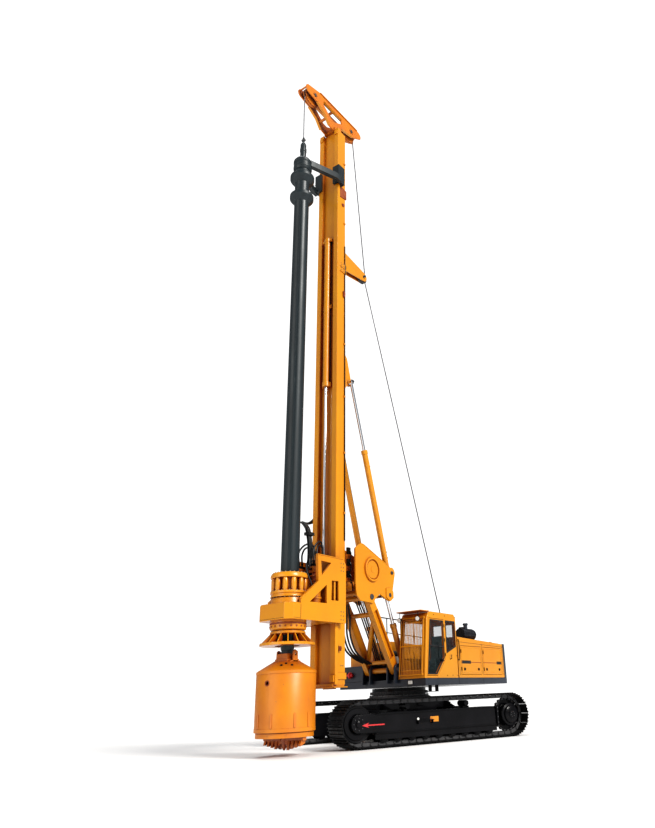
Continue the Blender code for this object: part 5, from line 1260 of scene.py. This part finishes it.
def build_kelly():
    """Kelly bar and its guide head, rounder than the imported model."""
    outer = Shape()
    outer.on_kelly([(0.255, 17.15), (0.262, 17.14), (0.262, 16.98), (0.28, 16.945), (0.378, 16.935),
        (0.385, 16.925), (0.385, 16.83), (0.375, 16.815), (0.29, 16.69), (0.232, 16.65), (0.23, 16.64),
        (0.23, 16.18), (0.24, 16.165), (0.368, 16.155), (0.375, 16.145), (0.375, 16.045), (0.365, 16.035),
        (0.275, 15.91), (0.232, 15.87), (0.23, 15.86), (0.23, 2.5), (0.222, 2.46), (0.195, 2.46),
        (0.195, 17.12), (0.21, 17.15)], 64)
    outer.make("kelly_outer_bar", "kelly", "kelly", replaces=("kelly_outer",))
    keys = Shape()
    for i in range(3):
        a = math.radians(120 * i + 40)
        side = Vector((-math.sin(a), math.cos(a), 0))
        out = Vector((*polar(1, a), 0))
        for off in (-0.03, 0.03):
            base = Vector((KELLY, 0, 0)) + side * off + out * 0.228
            turn = Matrix.Rotation(a, 4, "Z")
            keys.box(base + Vector((-0.012, -0.009, 2.6)), base + Vector((0.012, 0.009, 15.8)), turn)
    keys.make("kelly_keys", "kelly", "kelly", 0.002)
    inner = Shape()
    inner.on_kelly([(0, 2.3), (0.152, 2.3), (0.16, 2.33), (0.16, 16.93), (0.15, 16.95), (0, 16.95)])
    inner.box((KELLY - 0.1, -0.1, 2.1), (KELLY + 0.1, 0.1, 2.36))
    inner.make("kelly_inner_bar", "kelly", "drill", 0.003, replaces=("kelly_inner",))
    guide = Shape()
    guide.on_kelly([(0.285, 17.24), (0.298, 17.26), (0.298, 17.34), (0.285, 17.36)])
    guide.on_kelly([(0.285, 17.46), (0.298, 17.48), (0.298, 17.56), (0.285, 17.58)])
    guide.make("guide_rings", "kelly", "kelly_head")
    guide_bolts = Shape()
    guide_bolts.bolts((KELLY, 0, 17.655), Z, 0.2, 12, 0.013, 0.014)
    for side in SIDES:
        guide_bolts.studs([(3.22 + 0.08 * i, side * 0.6, z) for i in range(3) for z in (17.38, 17.6, 17.9)],
            (0, side, 0), 0.012, 0.01)
    guide_bolts.make("guide_bolts", "cast", "kelly_head")
    swivel = Shape()
    swivel.on_kelly([(0, 17.66), (0.115, 17.66), (0.115, 17.72), (0.095, 17.74), (0.095, 18.02),
        (0.108, 18.04), (0.108, 18.16), (0.095, 18.18), (0.095, 18.34), (0.07, 18.4), (0, 18.42)], 40)
    swivel.make("swivel_rings", "kelly", "kelly_head")
    thimble = Shape()
    thimble.lathe([(0, -0.055), (0.05, -0.055), (0.05, 0.055), (0, 0.055)], (KELLY, 0, 18.56), Y, 24)
    thimble.make("swivel_pin", "cast", "kelly_head")


def build_bucket():
    """Hoops, vents, fins, socket, lid ring and teeth of the drilling bucket."""
    body = Shape()
    body.on_kelly([(0.69, 0.517), (0.706, 0.52), (0.706, 0.6), (0.69, 0.604)], 72)
    body.on_kelly([(0.69, 1.76), (0.707, 1.764), (0.707, 1.815), (0.69, 1.828)], 72)
    body.make("bucket_hoops", "bucket", "drill", 0.002)
    vents = Shape()
    for side in SIDES:
        way = Vector((0.9, 0.1, 0)).normalized() * side
        vents.lathe([(0.043, 0.692), (0.062, 0.692), (0.062, 0.706), (0.043, 0.706)], (KELLY, 0, 1.56), way,
            28)
    vents.make("vent_rings", "rust", "drill")
    fins = Shape()
    for angle in (18, 62, 92, 150, 190, 240, 300, 345):
        a = math.radians(angle)
        centre = Vector((*polar(0.704, a, (KELLY, 0)), 0.76))
        fins.box(centre - Vector((0.008, 0.022, 0.15)), centre + Vector((0.008, 0.022, 0.15)),
            Matrix.Rotation(a, 4, "Z"))
    # The fins take the darker copy of the yellow paint, painted shade
    fins.make("bucket_fins", "painted_shade_orange", "drill", 0.003)
    ears = Shape()
    for y in (-0.285, 0.245):
        ears.plate([(4.55, 1.94), (4.73, 1.94), (4.71, 2.27), (4.66, 2.31), (4.57, 2.27)], y, y + 0.04,
            holes=[circle((KELLY, 2.2), 0.03, 16)])
        ears.plate([(4.4, 1.93), (4.88, 1.93), (4.8, 2.06), (4.48, 2.06)], y, y + 0.04)
    ears.box((4.44, -0.2, 2.02), (4.84, 0.2, 2.1))
    ears.across((KELLY, 2.15), 0.034, -0.21, 0.21, 20)
    ears.make("socket_ears", "bucket", "drill", 0.004)
    ports = Shape()
    for angle, r, z in ((42, 0.42, 1.985), (58, 0.5, 1.945), (30, 0.5, 1.945), (200, 0.45, 1.97)):
        a = math.radians(angle)
        low, high = ((*polar(r + out, a, (KELLY, 0)), z + rise) for out, rise in ((0, -0.02), (0.006, 0.018)))
        ports.bar(low, high, 0.026, sides=18)
    ports.make("cone_ports", "black", "drill")
    lid = Shape()
    lid.on_kelly([(0.62, 0.4), (0.668, 0.4), (0.668, 0.5), (0.62, 0.506)], 64)
    lid.make("lid_ring", "bucket", "lid", 0.002)
    teeth = Shape()
    for side in SIDES:
        for i in range(4):
            y = side * (0.2 + 0.12 * i)
            low = 0.15 + 0.025 * i
            point = [(-0.06, 0.335), (0.06, 0.335), (0.1, low + 0.04), (0.095, low - 0.015), (0.055, low),
                (-0.05, 0.27)]
            teeth.plate([(KELLY + side * x, z) for x, z in point], y - 0.036, y + 0.036)
    teeth.on_kelly([(0, 0.44), (0.075, 0.44), (0.075, 0.36), (0.055, 0.22), (0.058, 0.19), (0.02, 0.125),
        (0, 0.12)], 20)
    # The teeth take the darker copy of the yellow paint, painted shade
    teeth.make("bucket_teeth", "painted_shade_orange", "lid", 0.004)
    cuts = Shape()
    cuts.box_pair((KELLY - 0.055, 0.08, 0.325), (KELLY + 0.055, 0.63, 0.415))
    # The cutting edges take the darker copy of the yellow paint, painted shade
    cuts.make("cutting_edges", "painted_shade_orange", "lid", 0.003)


# ---------------------------------------------------------------- ropes
def build_ropes():
    """The hoist rope from the swivel over the crown and the guide sheave to the drum."""
    radius, sheave_radius, guide_radius, wound_radius = 0.017, 0.318, 0.205, 0.345
    above, leaves = (4.657, 0, 20.7), 208
    front = Shape()
    front.tube([(KELLY, 0, 18.58), (4.652, 0, 19.6), above], radius, smooth=1)
    front.make("rope_to_swivel", "rope", ("mast", "kelly_head", above, (KELLY, 0, 18.62)))
    over = Shape()
    over.tube([above, *map(spot, arc(FRONT_SHEAVE, sheave_radius, -10, 90, 8)), *map(spot,
        arc(REAR_SHEAVE, sheave_radius, 90, 185, 8)), *map(spot,
        arc(GUIDE_SHEAVE, guide_radius, 172, leaves, 4))], radius, smooth=1)
    over.make("rope_over_crown", "rope", "mast")
    start = spot(polar(guide_radius, math.radians(leaves), GUIDE_SHEAVE))
    end = Vector((WINCH[0] + wound_radius * 0.93, 0.06, WINCH[1] + wound_radius * 0.36))
    for i, (one, two, top, bend, foot) in enumerate((("mast", "bracket", 0.0, 0.6, 0.8),
            ("bracket", "boom", 0.8, 0.8, 0.9), ("boom", "upper", 0.9, 0.9, 1.0))):
        steps = round((foot - top) * 100)
        length = Shape()
        length.tube([start.lerp(end, top + 0.01 * step) for step in range(steps + 1)], radius, smooth=1)
        length.make(f"rope_to_winch_{i + 1}", "rope", (one, two, start.lerp(end, bend),
            start.lerp(end, foot)))


# ---------------------------------------------------------------- studio
def build_studio():
    """White floor and backdrop, the lights, the camera and the view."""
    floor_mesh = bpy.data.meshes.new("floor")
    size = 400
    floor_mesh.from_pydata([(-size, -size, 0), (size, -size, 0), (size, size, 0), (-size, size, 0)], [],
        [(0, 1, 2, 3)])
    floor = new_object("floor", floor_mesh)
    floor_mesh.materials.append(surface("studio_floor", (0.9, 0.9, 0.9), 0.75, second=(0.88, 0.88, 0.88),
        patch=0.05, grain=20, bump=0.01))
    floor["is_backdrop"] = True
    world = bpy.data.worlds.new("studio")
    world.use_nodes = True
    tree = world.node_tree
    ambient = tree.nodes["Background"]
    ambient.inputs["Color"].default_value = (0.93, 0.96, 1.0, 1.0)
    ambient.inputs["Strength"].default_value = 0.3
    backdrop = add(tree, "Background", "Background", {"Color": (1.0, 1.0, 1.0, 1.0), "Strength": 1.0})
    seen = add(tree, "LightPath", "Is Camera Ray")
    choose = add(tree, "MixShader", "Shader", {0: seen, 1: ambient.outputs[0], 2: backdrop})
    tree.links.new(choose, tree.nodes["World Output"].inputs["Surface"])
    bpy.context.scene.world = world

    def sun(name, way, power, spread, colour):
        data = bpy.data.lights.new(name, "SUN")
        data.energy = power
        data.angle = math.radians(spread)
        data.color = colour
        new_object(name, data).rotation_euler = Vector(way).to_track_quat("-Z", "Y").to_euler()

    sun("key", (-0.1, -1.0, -0.62), 3.0, 20, (1.0, 0.97, 0.92))
    sun("front", (-1.0, 0.2, -0.25), 0.8, 40, (1.0, 0.93, 0.85))
    sun("top", (0.1, 0.1, -1.0), 1.1, 30, (1.0, 1.0, 1.0))

    stand = (16.807, 11.821, 1.135)
    yaw, pitch, roll = map(math.radians, (32.394, 22.151, -2.659))
    forward = Vector((-math.cos(yaw) * math.cos(pitch), -math.sin(yaw) * math.cos(pitch), math.sin(pitch)))
    level = Vector((-math.sin(yaw), math.cos(yaw), 0))
    up = level.cross(forward)
    right = level * math.cos(roll) + up * math.sin(roll)
    up = right.cross(forward)
    data = bpy.data.cameras.new("camera")
    data.sensor_fit = "HORIZONTAL"
    data.sensor_width = 36
    data.lens = 35.96
    data.shift_x = -0.1418
    data.shift_y = 0.024
    data.clip_end = 500
    data.dof.use_dof = False
    camera = new_object("camera", data)
    turn = Matrix((right, up, -forward)).transposed().to_4x4()
    camera.matrix_world = Matrix.Translation(to_world(stand)) @ turn
    bpy.context.scene.camera = camera
    bpy.context.scene.view_settings.view_transform = "Standard"
    bpy.context.scene.view_settings.look = "Medium High Contrast"


for look, bevel, nodes in NODE_LOOKS:
    for node in nodes.split():
        dress(node, look, bevel)
for build in (build_tracks, build_undercarriage, build_deck, build_house, build_cab, build_boom, build_mast,
        build_head, build_kelly, build_bucket, build_ropes, build_studio):
    build()


def plain(boxes):
    """Measures as plain lists and numbers."""
    if isinstance(boxes, dict):
        return {key: plain(value) for key, value in boxes.items()}
    if isinstance(boxes, (str, int, float, bool)) or boxes is None:
        return boxes
    return [plain(value) for value in boxes]


{"cad": plain(cad_bounds), "visual": plain(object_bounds())}
